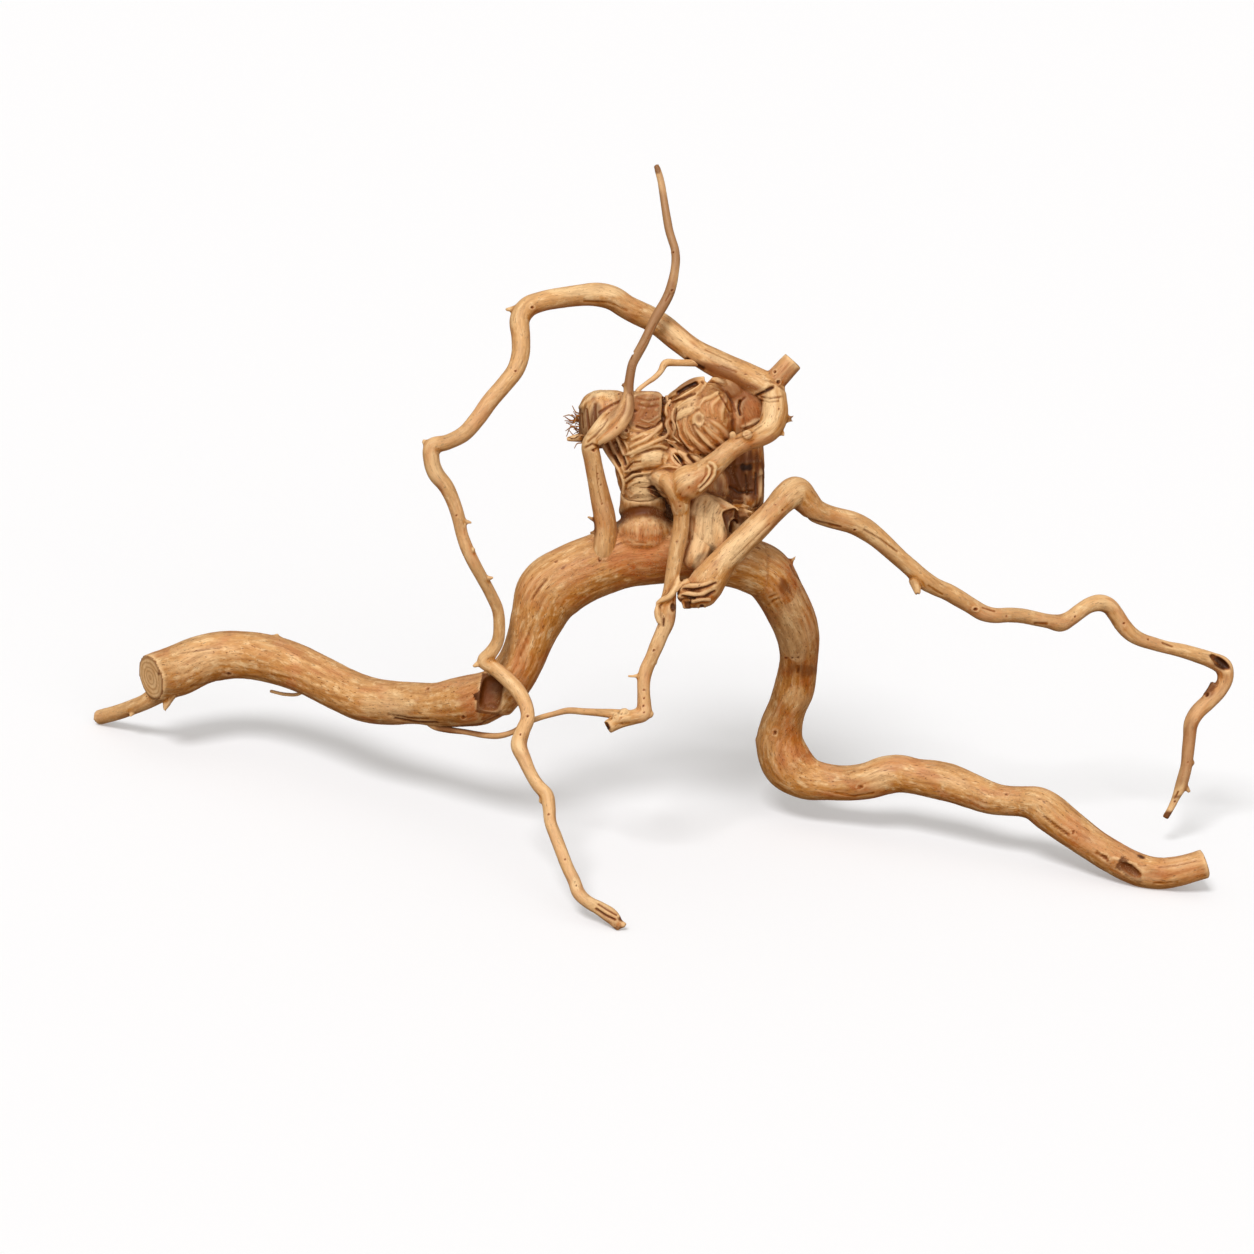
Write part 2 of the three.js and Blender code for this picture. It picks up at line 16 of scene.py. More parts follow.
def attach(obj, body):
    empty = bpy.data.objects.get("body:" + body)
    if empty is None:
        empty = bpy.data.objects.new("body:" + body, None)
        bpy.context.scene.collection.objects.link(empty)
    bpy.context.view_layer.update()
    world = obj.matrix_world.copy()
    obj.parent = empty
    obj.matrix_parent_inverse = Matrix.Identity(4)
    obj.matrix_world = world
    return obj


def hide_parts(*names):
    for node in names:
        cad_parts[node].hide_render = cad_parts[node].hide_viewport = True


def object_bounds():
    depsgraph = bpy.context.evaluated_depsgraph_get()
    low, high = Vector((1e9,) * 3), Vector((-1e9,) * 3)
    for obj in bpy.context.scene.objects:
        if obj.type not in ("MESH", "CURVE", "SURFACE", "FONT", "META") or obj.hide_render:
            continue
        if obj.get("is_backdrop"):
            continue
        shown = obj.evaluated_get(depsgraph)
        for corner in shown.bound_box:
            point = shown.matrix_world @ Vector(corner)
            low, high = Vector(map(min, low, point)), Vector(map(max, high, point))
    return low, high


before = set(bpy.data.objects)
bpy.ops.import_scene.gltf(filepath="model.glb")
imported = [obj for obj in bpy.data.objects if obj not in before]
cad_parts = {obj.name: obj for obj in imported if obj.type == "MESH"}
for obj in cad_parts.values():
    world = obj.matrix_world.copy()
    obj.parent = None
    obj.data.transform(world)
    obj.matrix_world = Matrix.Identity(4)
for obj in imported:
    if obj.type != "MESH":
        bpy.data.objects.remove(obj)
cad_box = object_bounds()
print("CAD box in mm:", [[round(c * 1000, 1) for c in corner] for corner in cad_box])

# %% [markdown]
# ## The sheet and the stance
# A freely grown root has no straight edge to measure from. So every point is read off an upright
# sheet behind the wood: across, up, toward the viewer, and for a limb its radius. What is nearer the
# eye looks larger, so a point is drawn in by its nearness. Then the sheet is tipped until three feet
# touch the floor.

# %% From the sheet to the frame and back
SHEET_SCALE = 0.958             # one sheet unit in mm
VIEW_DISTANCE = 1500.0          # from the eye to the sheet, in sheet units
FRONT_FOOT, RIGHT_FOOT, LEFT_FOOT = (-3, -128.2, 85), (224, -110.5, -6.3), (-223, -40.9, -76.8)
PLAN_CENTRE = np.array([7.5, 83.3, 0.3])   # the origin, and how much the feet are worn, in mm


def unit(v):
    v = np.asarray(v, float)
    return v / np.linalg.norm(v, axis=-1, keepdims=True)


def nearness(toward):
    return 1 - np.asarray(toward, float) / VIEW_DISTANCE


def on_sheet(points):
    """Sheet points as mm, drawn in by how near they are."""
    p = np.asarray(points, float)
    return np.concatenate([p[..., :2] * nearness(p[..., 2:3]), p[..., 2:3]], -1) * SHEET_SCALE


foot_f, foot_r, foot_l = on_sheet([FRONT_FOOT, RIGHT_FOOT, LEFT_FOOT])
up = unit(np.cross(foot_r - foot_f, foot_l - foot_f))
back = unit(np.array([0, 0, -1]) + up * up[2])
TURN = np.array([np.cross(back, up), back, up])      # rows: frame X, Y and Z on the sheet


def to_frame(points):
    """Sheet points as places in the frame, in metres."""
    return ((on_sheet(points) - foot_f) @ TURN.T - PLAN_CENTRE) * 0.001


def to_sheet(places):
    """Places in the frame as across, up and toward on the sheet."""
    s = ((np.asarray(places) * 1000 + PLAN_CENTRE) @ TURN + foot_f) / SHEET_SCALE
    return np.concatenate([s[..., :2] / nearness(s[..., 2:3]), s[..., 2:3]], -1)


EYE = to_frame([0, 0, VIEW_DISTANCE])
print("eye at", np.round(EYE, 3), "looking down by", round(math.degrees(math.asin(up[2])), 1), "degrees")

# %% [markdown]
# ## The camera
# A long lens from 1.4 m away. The sheet's own across and up are the picture's axes, so
# what was read off the sheet lands where it was read.

# %% Camera
SHEET_WIDTH = 528.9             # sheet units from the left to the right edge of the picture
SENSOR = 36.0
camera_data = bpy.data.cameras.new("camera")
camera_data.sensor_width = SENSOR
camera_data.lens = SENSOR * VIEW_DISTANCE / SHEET_WIDTH
camera_data.clip_start, camera_data.clip_end = 0.05, 20
camera = bpy.data.objects.new("camera", camera_data)
bpy.context.scene.collection.objects.link(camera)
camera.matrix_world = Matrix.Translation(Vector(EYE)) @ Matrix(TURN.tolist()).to_4x4()
bpy.context.scene.camera = camera
print("lens", round(camera_data.lens, 1), "mm")

# %% [markdown]
# ## The routes
# The thick wood first, then the thin limbs, the lobes, the small spurs and the roots that wrap the
# crown. The large limbs have nearly the same stations as the solid.

# %% Thick wood
LOG = [
    [-54, -27, 20, 10], [-62, -30.4, 14, 11], [-70, -31.6, 8, 10.5], [-80, -32.7, 1, 9.4],
    [-90, -32.1, -7, 9], [-100, -31.9, -14, 9.5], [-110, -30.5, -21, 9.8], [-120, -26.5, -28, 9.6],
    [-130, -21.3, -35, 9.6], [-140, -16.7, -41, 9.8], [-150, -13.6, -46, 10], [-160, -12, -50, 10],
    [-170, -12, -52, 10.3], [-180, -14.1, -51.5, 10.5], [-190, -18.4, -48, 10.8], [-201, -21.4, -40.5, 10],
]
LEFT_STUB = [
    [-190, -22, -50, 6], [-197, -27.5, -53, 4.6], [-202, -31, -56, 3.6], [-208, -33.6, -62, 3.4],
    [-215, -36.1, -69, 3.3], [-223, -38.2, -76.5, 3.2],
]
TRUNK = [
    [-57, -31, 17, 10], [-50, -22.5, 20, 10], [-45, -15, 22, 9.5], [-41, -5, 24, 10], [-38, 3, 25, 11.5],
    [-32.5, 14.7, 26, 14.2], [-22, 22, 26, 13.6], [-10, 27, 26, 13.5], [0, 31, 26, 14.4], [11, 32, 26, 14.2],
    [23, 31.5, 26, 13.2], [35, 30.5, 25, 12.4], [47, 28, 23, 11.8], [57.5, 23.5, 19, 11.2],
]
RIGHT_LEG = [
    [47, 29, 23, 10], [58, 23.5, 19, 11.2], [65.3, 13, 11, 10.1], [70.2, 3, 2, 9.6], [72.3, -5, -6, 8.9],
    [72.5, -12, -12, 8.2], [71.8, -19, -18, 8.2], [70.4, -26, -23, 8.6], [67.5, -34, -28, 8],
    [65, -42, -33, 9], [64.6, -49.5, -36, 10.2], [68.5, -58.3, -38, 10.9], [76, -63.8, -37, 9.2],
    [85, -65.4, -35, 7.8], [95, -65.8, -33, 7.6], [102, -64.8, -31, 7.9], [109, -62.5, -30, 8.2],
    [115, -61.8, -29, 8], [122, -63.1, -27, 7.5], [130, -64.4, -25, 8], [137, -66, -23, 7.9],
    [145, -69, -21, 7.3], [153, -72, -19, 6.9], [160, -73.2, -17, 6.4], [167, -73.6, -16, 6.6],
    [173, -74.8, -14, 7.7], [178, -78, -13, 8.3], [184, -82.6, -12, 7.9], [191, -87.7, -11, 7.4],
    [198, -92.7, -9, 7], [205, -97, -8, 7], [212, -100.8, -7, 7], [219, -103.3, -6.5, 7],
    [226, -103.9, -6, 6.7], [233, -102.8, -4, 6.4],
    [239, -101.2, -3.6, 6.2], [244, -99.6, -3.6, 6.3],
]
# The neck narrows at the saw band. Its top is part of the crown.
SAWN_NECK = [
    [7.6, 36, 29.6, 9.6], [7.5, 40.4, 30.6, 12.2], [7.4, 42.8, 31.1, 12], [7.2, 44.2, 30.8, 10.2],
    [7, 47.6, 29.8, 9.4], [6.9, 48.8, 29.6, 10.5], [6.7, 52, 31, 9.8], [6.5, 57, 33.6, 9.4],
]
NECK_TOP = [[6.5, 56.4, 33.8, 9], [6.3, 60, 35.4, 9.8], [6, 64, 37, 10.6], [6.4, 72, 39, 12], [8, 82, 41, 12]]
BACK_STUMP = [[49, 84, 31, 9], [48.3, 76.5, 30, 9.4], [48, 66, 27, 10], [48, 55, 24, 9.8], [47, 40, 22, 9]]

# %% Thin limbs
HOOP = [
    [60, 100.8, 43, 6.2], [54, 103.6, 42, 6.2], [48, 106.4, 41, 6.1], [42, 109, 40, 6], [36, 112, 39, 5.8],
    [30, 115.2, 38, 5.4], [25, 118.6, 37, 5.2], [20, 122.6, 36, 5.4], [15, 126.8, 35, 5.4],
    [10, 130, 35, 5.3], [5, 132.4, 35, 5.3], [0, 134.9, 36, 5.1], [-6, 138.7, 37, 5.2],
    [-12, 140.2, 38, 5.1], [-20, 139.9, 41, 4.6], [-28, 138.8, 44, 4.4], [-36, 137.3, 47, 4.3],
    [-41.8, 135, 49, 4.4], [-45.2, 130, 51, 4.3], [-44.8, 122, 53, 4], [-44.9, 115, 55, 3.9],
    [-47, 108.5, 57, 3.8], [-52, 102, 59, 3.6], [-58, 95, 60, 3.6], [-63, 88, 61, 3.5],
    [-69, 81.4, 62, 3.4], [-76, 77.9, 62, 3.3], [-82, 76, 62, 3.7], [-82.4, 70, 62, 3.5],
    [-80.5, 64.5, 62, 3.5], [-76.5, 59.5, 61, 3.3], [-73.3, 53, 60, 3], [-71, 46, 59, 2.9],
    [-69.8, 40, 58, 2.7], [-67.8, 34, 57, 2.8], [-64.8, 27.5, 55, 2.7], [-61, 20.5, 51, 2.6],
    [-57.5, 14, 47, 2.6], [-54.5, 7, 43, 2.6], [-53.9, 0, 40, 2.6], [-54.6, -6, 38, 2.7],
    [-57.5, -11, 37, 2.9], [-60.2, -14.3, 36.6, 3.1], [-56, -17.3, 36.6, 3], [-51, -21.5, 37.4, 3.2],
    [-46, -27, 40, 3.3], [-42.7, -33, 43.5, 3.1], [-41.9, -38.5, 47, 3.1], [-44, -44, 51, 3.2],
    [-45.6, -49.7, 54, 3.5], [-43.2, -56, 57, 3], [-40.5, -62, 60, 2.7], [-37.5, -66.8, 62, 2.8],
    [-33.8, -71, 64, 3], [-32.8, -76, 66, 2.8], [-32.3, -82, 68, 2.6], [-30, -88.5, 71, 2.7],
    [-27.5, -95, 74, 2.7], [-25, -101.5, 76, 2.7], [-22.3, -107, 78, 2.8], [-20.3, -112.3, 80, 2.9],
    [-16.5, -116, 82, 2.7], [-11.5, -118.8, 83, 3], [-7, -121.8, 84, 3.3], [-4, -124.6, 84.6, 2.5],
]
MID_LIMB = [
    [55, 102.5, 42, 5.6], [60.5, 100.5, 43, 5.6], [62.3, 95, 44.5, 5.4], [62.2, 89, 46, 5.8],
    [60, 83.6, 48, 5.3], [55.6, 80.4, 50, 4.7], [50, 78.2, 51, 4.3], [44, 74.8, 52, 4.2],
    [38, 69.6, 53, 4.6], [31.5, 64.2, 52, 6], [24.8, 60.2, 50, 7.4], [22.3, 55, 48, 5.2],
    [22.9, 49.5, 46.6, 3.7], [22.7, 42, 45.4, 3.5], [21, 33, 45, 3.5], [19.3, 23, 44.4, 3.2],
    [18, 15, 44, 3], [16.9, 8, 43.6, 3.9], [16.8, 2.3, 43.4, 3.4], [14.6, -3, 43.4, 3.1],
    [12.5, -8, 43.6, 3.1], [10.4, -13, 44, 2.9], [8.1, -18, 44, 3], [7.1, -22.5, 44.4, 2.9],
    [7, -28, 45, 2.8], [7.2, -33, 45.5, 3.1], [7, -36.3, 46, 3.4], [2.6, -37.9, 46, 3.3],
    [-2, -38.9, 46, 3.5], [-5.5, -40.6, 46.5, 3.2], [-8.4, -42.4, 47, 2.9],
]
RIGHT_LIMB = [
    [30.5, 12.6, 42, 6.6], [33, 17.4, 42.4, 7.6], [36.5, 22.4, 42.2, 6.9], [40.5, 27.6, 41.8, 6],
    [45, 32.3, 41.5, 5.7], [50, 37.3, 41.5, 5.6], [55.5, 42.8, 41, 5.5], [62, 49.4, 39, 5.4],
    [67, 54.6, 36.5, 6.1], [71.3, 57, 34, 6.6], [75, 53.6, 32, 5.9], [79.4, 49.2, 30, 5],
    [85, 46.7, 27, 4.7], [90, 45.3, 25, 4.7], [95, 44, 23, 4.8], [100, 41.6, 21, 4.7], [105, 38, 19, 4.3],
    [110, 33.6, 16.5, 4], [115, 29, 14, 3.7], [120, 24.6, 11.5, 3.7], [125, 20, 9, 4], [130, 17, 6.5, 3.7],
    [135, 14.8, 4, 3.7], [140, 12, 1.5, 3.7], [145, 9, -1, 3.5], [150, 6, -3.5, 3.5], [155, 4.8, -6, 3.3],
    [161, 5, -9, 3.2], [167, 4.6, -12, 3.2], [173, 3.4, -15, 3.1], [178, 2.4, -17.5, 3.1],
    [183, 1.7, -20, 3.7], [187, 3.6, -21.5, 3.3], [191, 6.6, -23, 3.3], [195, 9.2, -24.6, 3.4],
    [199.5, 10.2, -26, 3.7], [203.4, 8.8, -27.5, 3.6], [206.4, 5, -29, 3.5], [209, 1, -30.6, 3.5],
    [212.2, -2.6, -32, 3.3], [216.5, -5.2, -33.8, 3], [222, -7, -36, 2.9], [228, -8.7, -38, 2.8],
    [234, -10, -40.5, 3], [240, -11.8, -43, 3.2], [246, -13.8, -45, 3.4], [251.4, -16.6, -46.5, 3.8],
    [252.4, -21.4, -47.6, 3.3], [250, -26.5, -48.4, 3.2], [245.2, -31.4, -49, 3.4], [240.4, -36, -49, 3.3],
    [237.8, -40.8, -49, 3.1], [237.2, -46, -49, 2.8], [236.6, -52, -49, 2.7], [236, -58, -49, 2.5],
    [234.8, -63, -49, 2.6], [233.4, -67.5, -49, 2.5], [231.6, -71.6, -49, 1.8], [229.6, -76, -49.6, 1.5],
    [227, -80.6, -50, 1.4],
]
STRUT = [
    [-9.5, 28, 31, 6.2], [-9.3, 33, 35.5, 5.2], [-9, 40, 38, 4.8], [-9.6, 47, 40, 4.7],
    [-11.3, 55, 43, 4.3], [-13, 63, 46, 3.9], [-14.6, 71, 49, 3.8], [-15.7, 76.8, 51, 4.2],
    [-13.6, 80.6, 52, 4.4], [-9.4, 84.4, 52.6, 4.5], [-5, 88.4, 52.6, 4.4], [-1.6, 92.4, 52.2, 3.7],
    [0.3, 97, 51.6, 2.6], [0.8, 102, 51, 2.1], [1.5, 107, 50.6, 2], [2.4, 111, 50.2, 2],
    [4.5, 115.2, 50, 2.1], [6.9, 119.6, 49.6, 2.1], [9, 124, 49, 2], [11.2, 128.8, 48.4, 2.1],
    [13.6, 133, 47.8, 2.2], [16, 137, 47, 2.2], [17.9, 141, 46.4, 2.2], [19.2, 145.4, 45.6, 2.1],
    [20.1, 150, 45, 1.9], [20.6, 155, 44, 1.9], [20.2, 159.4, 43, 1.8], [19, 163.2, 42, 1.8],
    [17.8, 167.2, 41, 1.8], [17, 171.4, 40, 1.8], [16.2, 176.2, 39, 1.7], [15.3, 182, 37.6, 1.6],
    [14.3, 188, 36, 1.5], [13.1, 192.4, 35, 1.2], [12.2, 195, 34.4, 0.7],
]
UNDER_ROOT = [
    [-85, -39, -2, 1.7], [-81, -42.2, 2, 1.3], [-75, -43.4, 6, 1.4], [-68, -44.3, 10, 1.2],
    [-60, -45.7, 14, 1.3], [-54, -45.9, 17, 1.3], [-48, -44.2, 21, 1.2], [-42, -40.4, 25, 1.2],
    [-36.5, -38.2, 29, 1.2], [-31, -36.7, 32, 1.2], [-25, -35.3, 35, 1.4], [-18, -35.7, 39, 1.5],
    [-12, -36.1, 42, 1.7], [-6, -36.6, 44.6, 2.1], [0, -37.4, 46, 2.5],
]
BROKEN_TWIG = [
    [33, 111.6, 38, 2], [27, 111.4, 40.5, 1.6], [21, 111.4, 43, 1.5], [16.2, 111.2, 45, 1.7],
    [14, 107.6, 46, 1.3], [11.4, 105, 46.6, 1.2], [8, 102.6, 47.2, 1], [4.6, 99.6, 48, 1.1],
    [4, 96.4, 48, 1.4],
]
STRAY_ROOT = [[-134, -23, -37, 1.1], [-138, -28, -42, 0.8], [-144, -28.4, -47, 0.8], [-150.4, -27, -51, 0.7]]

# %% Crown lobes
# A lobe has a centre and three half sizes. It is round where square is 1, and blocky where it is low.
# Its grain runs one way, or swirls round a point.
left_lobe = dict(at=[-8.4, 87.6, 38], half=[12, 12.4, 11.6], square=0.72, grain=(0.25, 1, 0))
block = dict(at=[7.2, 89.3, 42], half=[8.2, 10, 10], square=0.36, grain=(0.5, 1, 0))   # sawn
core = dict(at=[14, 83, 37], half=[25, 12.6, 12], square=0.8, swirl=(18, 48))
over_neck = dict(at=[20, 67, 37], half=[17, 14.6, 12], square=0.86, swirl=(18, 48))
knurl = dict(at=[0.4, 82.6, 48], half=[4.2, 3.8, 3.6], swirl=(0.4, 80))
# The backing is a hidden lobe at the floor of a dark gap; its front gets painted shade further down.
backing = dict(at=[17.6, 90.4, 33], half=[4, 7, 5], grain=(0, 1, 0))   # floor of the dark gap
nape = dict(at=[22, 69, 30.6], half=[19, 19, 8.6], square=0.85, swirl=(18, 40))   # the back
burl = dict(at=[31, 87.8, 42], half=[13.8, 15.4, 12.8], square=0.84, swirl=(46, 88))
web = dict(at=[47.6, 92, 35], half=[12, 13, 10.4], square=0.78, grain=(0.5, -0.86, 0))
under_hoop = dict(at=[42.4, 99.6, 37.4], half=[9.6, 6.4, 8.6], square=0.8, grain=(0.6, -0.8, 0))
web_root = dict(at=[45.4, 88, 37], half=[6.6, 11, 9.6], square=0.9, grain=(0.5, -0.86, 0))
stump = dict(at=[47.6, 62.5, 25], half=[10.2, 14, 10.6], square=0.5, grain=(0.05, 1, 0))
behind = dict(at=[38, 60, 30], half=[9, 10, 8.4], grain=(0.1, 1, 0))
bulge = dict(at=[34, 42.8, 31.6], half=[9, 13.8, 12], square=0.7, grain=(0.12, 1, 0))
wedge = dict(at=[35.4, 48.4, 33], half=[9.4, 7, 10.6], square=0.5, turn=-24, grain=(0.5, 0.9, 0))
toe = dict(at=[31, 33.6, 34], half=[5.6, 10.4, 9], square=0.6, turn=-24, grain=(0.4, 0.9, 0))
# under_saddle is a hidden lobe at the floor of the dark gap beside the neck; its front gets painted shade.
under_saddle = dict(at=[17.4, 53, 28], half=[7, 9, 6], grain=(0, 1, 0))
knob = dict(at=[29.6, 14.4, 42], half=[8.6, 6.4, 7], square=0.8, grain=(1, 0.1, 0))

# %% Spurs
# Each has a root, a tip, and its radius at both.
THICK_SPURS = [
    [[-148.4, -6.4, -46], [-147.4, -2.6, -46], 2.1, 1],            # nub on the log's back
    [[-192.6, -27.6, -43], [-195.2, -35.4, -42], 3.2, 0.9],        # heel under the sawn end
    [[-206.6, -33, -60.5], [-209.6, -38, -59.5], 1.8, 0.8],        # nub on the left stub
    [[-78.4, -39, 3], [-78, -42.4, 4], 2.2, 1.1],                  # knob on the log's belly
    [[67, 25.6, 17], [71.8, 30.2, 18], 1.9, 0.5],                  # spur on the right leg
    [[60, -48, -36], [54.4, -49.4, -36], 5.4, 2.4],                # lump inside the bend
]
HOOP_SPURS = [
    [[-41, 134.8, 49], [-51.4, 133.8, 50], 2.8, 0.7],              # point at the hoop's shoulder
    [[-80, 75, 62], [-86.4, 78.6, 62], 3, 0.9],                    # point at the hoop's elbow
    [[-71, 45, 59], [-65.2, 44, 59.4], 1.5, 0.6],
    [[-67, 33.2, 57], [-64.2, 32.2, 58], 1.9, 1],
    [[-61, 20.4, 51.4], [-56.2, 20.8, 52], 1.4, 0.6],
    [[-59, -13.4, 37], [-65, -16.8, 37.4], 2.3, 0.7],              # point at the hoop's kink
    [[-34.6, -71.4, 63.8], [-37, -74, 64.4], 1.9, 0.9],
    [[-10, -119.8, 83.4], [-3.2, -122.4, 86], 1.8, 0.9],           # splintered front foot
    [[-8, -122.4, 84], [-0.6, -126, 85.6], 2, 1.3],
    [[-6, -123.4, 84.4], [-3.2, -127.6, 85], 2.5, 1.2],
    [[66, 88.4, 46], [69.4, 88, 46.4], 1.5, 0.7],
    [[67, 87.6, 46.4], [70.7, 89.2, 47], 0.8, 0.4],
    [[66.4, 87, 46], [70.2, 86.7, 46.6], 0.8, 0.4],
    [[64, 82.6, 47.6], [66.4, 80.6, 48], 1.2, 0.5],
    [[64, 81.4, 47.6], [66.8, 82, 48], 0.8, 0.4],
    [[45.4, 78, 52], [44.3, 82, 54.8], 1.8, 1.4],
    [[51.4, 79, 52], [50.4, 81.8, 55.6], 2.5, 2.1],
    [[6, -20.6, 44.6], [0.4, -20.8, 45], 0.8, 0.55],               # side twig of the middle limb
    [[10.4, -13.4, 44.4], [12.8, -15.4, 44.6], 1.3, 0.5],
    [[7.6, -35.8, 46], [11, -37.4, 46.2], 2.6, 1.2],               # heel
]
SAWN_TWIG = [[61.6, 103, 43], [70.1, 112.3, 43.6], 4.9, 4.5]          # on the crown's right
STRUT_SPURS = [
    [[-11, 43.4, 39.6], [-16.6, 46.6, 38], 1.2, 0.5],              # spurs on the strut
    [[-11, 41, 39], [-15.6, 39.6, 38.4], 1, 0.5],
    [[0.6, 101.4, 51], [-2.3, 102.2, 51.4], 1.2, 0.7],
]
RIGHT_SPURS = [
    [[71, 57, 34], [73.2, 62.9, 34], 4.6, 1.9],                    # crest of the knee
    [[121.4, 20, 11], [122.8, 13.6, 12], 2.9, 1.2],                # thorn under the right limb
    [[234.6, -66, -49], [237.4, -69.8, -49], 1.6, 0.7],
    [[236.8, -56.6, -49], [239.4, -57.6, -48.6], 1.3, 0.8],
    [[248, -24, -48], [243.2, -29.2, -48], 2.4, 0.9],
    [[25, 13, 44.6], [25.4, 7.7, 45], 2.3, 1.9],                   # peg under the knob
]
BARK_POINT = [[-18, 80.2, 38], [-25.4, 79.2, 38], 2.4, 0.9]             # on the left lobe

# %% Finer roots on the neck
# Each root is across, up and radius. The skin of the lobes gives its depth, so that it lies on them.
UNDER_THE_BLOCK = [                  # rising to the right
    [
        [1.3, 75.9, 0.7], [4.5, 77.4, 1.0], [7.6, 78.9, 1.1],
        [11, 81.6, 1.1], [13.9, 84.3, 0.9], [15.6, 86, 0.6],
    ],
    [
        [0, 72.8, 0.7], [3, 74, 0.9], [5.6, 75.6, 1.0], [9, 77, 1.0],
        [12.4, 78.6, 0.9], [15.8, 80, 0.8], [17.6, 82.4, 0.6],
    ],
    [[2, 74.4, 0.4], [6, 77.2, 0.5], [10, 79.4, 0.5], [13.6, 82, 0.5], [15.4, 84, 0.4]],
    [[1.6, 79, 0.6], [5, 80.4, 0.8], [9, 82.2, 0.7], [12.6, 85, 0.5]],
]
SATIN_SWELLING = [[2.6, 67.6, 2.6], [6, 70, 4.6], [10, 71.4, 5.6], [14, 71.2, 5.4], [17.6, 69.6, 3.8]]
ARCS_ROUND_THE_NECK = [
    [[1.6, 71.8, 0.6], [5, 74.2, 0.8], [9, 75.8, 0.8], [13, 76.4, 0.8], [17, 75.4, 0.6]],
    [[-0.4, 65.6, 0.7], [3, 66.8, 0.9], [7, 68, 0.8], [10.4, 67.4, 0.6]],
    [[9.6, 62.6, 0.5], [11.4, 65.2, 0.6], [14.4, 67.2, 0.65], [18, 67.8, 0.6], [21.6, 67, 0.5]],
    [[-0.6, 61.6, 0.5], [1.8, 63.6, 0.6], [5, 64.8, 0.6], [9, 65, 0.5], [11.4, 66.4, 0.4]],
    [[0.2, 58.6, 0.35], [2.4, 60.6, 0.45], [5.6, 61.6, 0.45], [9, 61.4, 0.4]],
    [[1.2, 54.6, 0.3], [4, 56.2, 0.4], [8, 56.6, 0.4], [11.4, 55.4, 0.3]],
]
OVER_THE_GAPS = [                    # two pale splinters, then thin roots
    [[7.6, 58.6, 0.3], [11, 57.9, 0.4], [14.4, 56.4, 0.3]],
    [[9, 56.8, 0.3], [12.8, 54.6, 0.4], [16.6, 51.8, 0.3]],
    [
        [14.4, 79.4, 0.4], [18.4, 78.4, 0.5], [22, 75.4, 0.55],
        [26, 73.4, 0.55], [30.3, 72.2, 0.5], [35, 70.6, 0.4],
    ],
    [[16.6, 78, 0.4], [19.6, 76.2, 0.5], [22, 72.8, 0.5], [24.6, 70, 0.45], [27.4, 67.6, 0.4]],
    [[18.6, 74.6, 0.35], [20.4, 72, 0.45], [22.6, 69, 0.45], [24, 66.4, 0.35]],
    [[20.4, 79, 0.4], [24.6, 76.4, 0.45], [28.6, 73.4, 0.45], [32, 70.6, 0.4]],
    [[26, 74.6, 0.35], [30, 73.8, 0.4], [33.6, 72.6, 0.4], [36.6, 70.4, 0.35]],
]
BESIDE_THE_BLOCK = [                 # a knobbly column, then strands down from the left lobe
    [
        [16.4, 97.6, 0.9], [17.2, 94.6, 0.7], [15.9, 91.6, 1.0],
        [17, 88.2, 0.7], [16, 84.8, 0.9], [18.2, 81.2, 0.6],
    ],
    [
        [18.4, 96, 0.7], [17.2, 92.6, 1.0], [18.6, 89.4, 0.7],
        [17.2, 86, 0.9], [18.4, 82.6, 0.6], [19, 80, 0.5],
    ],
    [[19.6, 92.4, 0.5], [19.2, 88, 0.6], [20.4, 84, 0.6], [19.6, 80.6, 0.5], [22.4, 78, 0.4]],
    [
        [-10.4, 77, 0.9], [-8, 73.4, 1.1], [-5.2, 69.4, 1.1],
        [-2.8, 65.4, 0.9], [-1.4, 61, 0.8], [-1.8, 56, 0.7],
    ],
    [[-7.6, 78.6, 0.7], [-5.6, 74.6, 0.9], [-3.4, 70.4, 0.9], [-1.6, 66.6, 0.7], [-0.6, 63, 0.6]],
    [[-4.4, 80, 0.6], [-2.8, 76.4, 0.8], [-1.2, 72.6, 0.8], [0, 69.4, 0.6]],
    [[-2, 79.4, 0.5], [0, 76.4, 0.6], [1, 73, 0.5]],
]

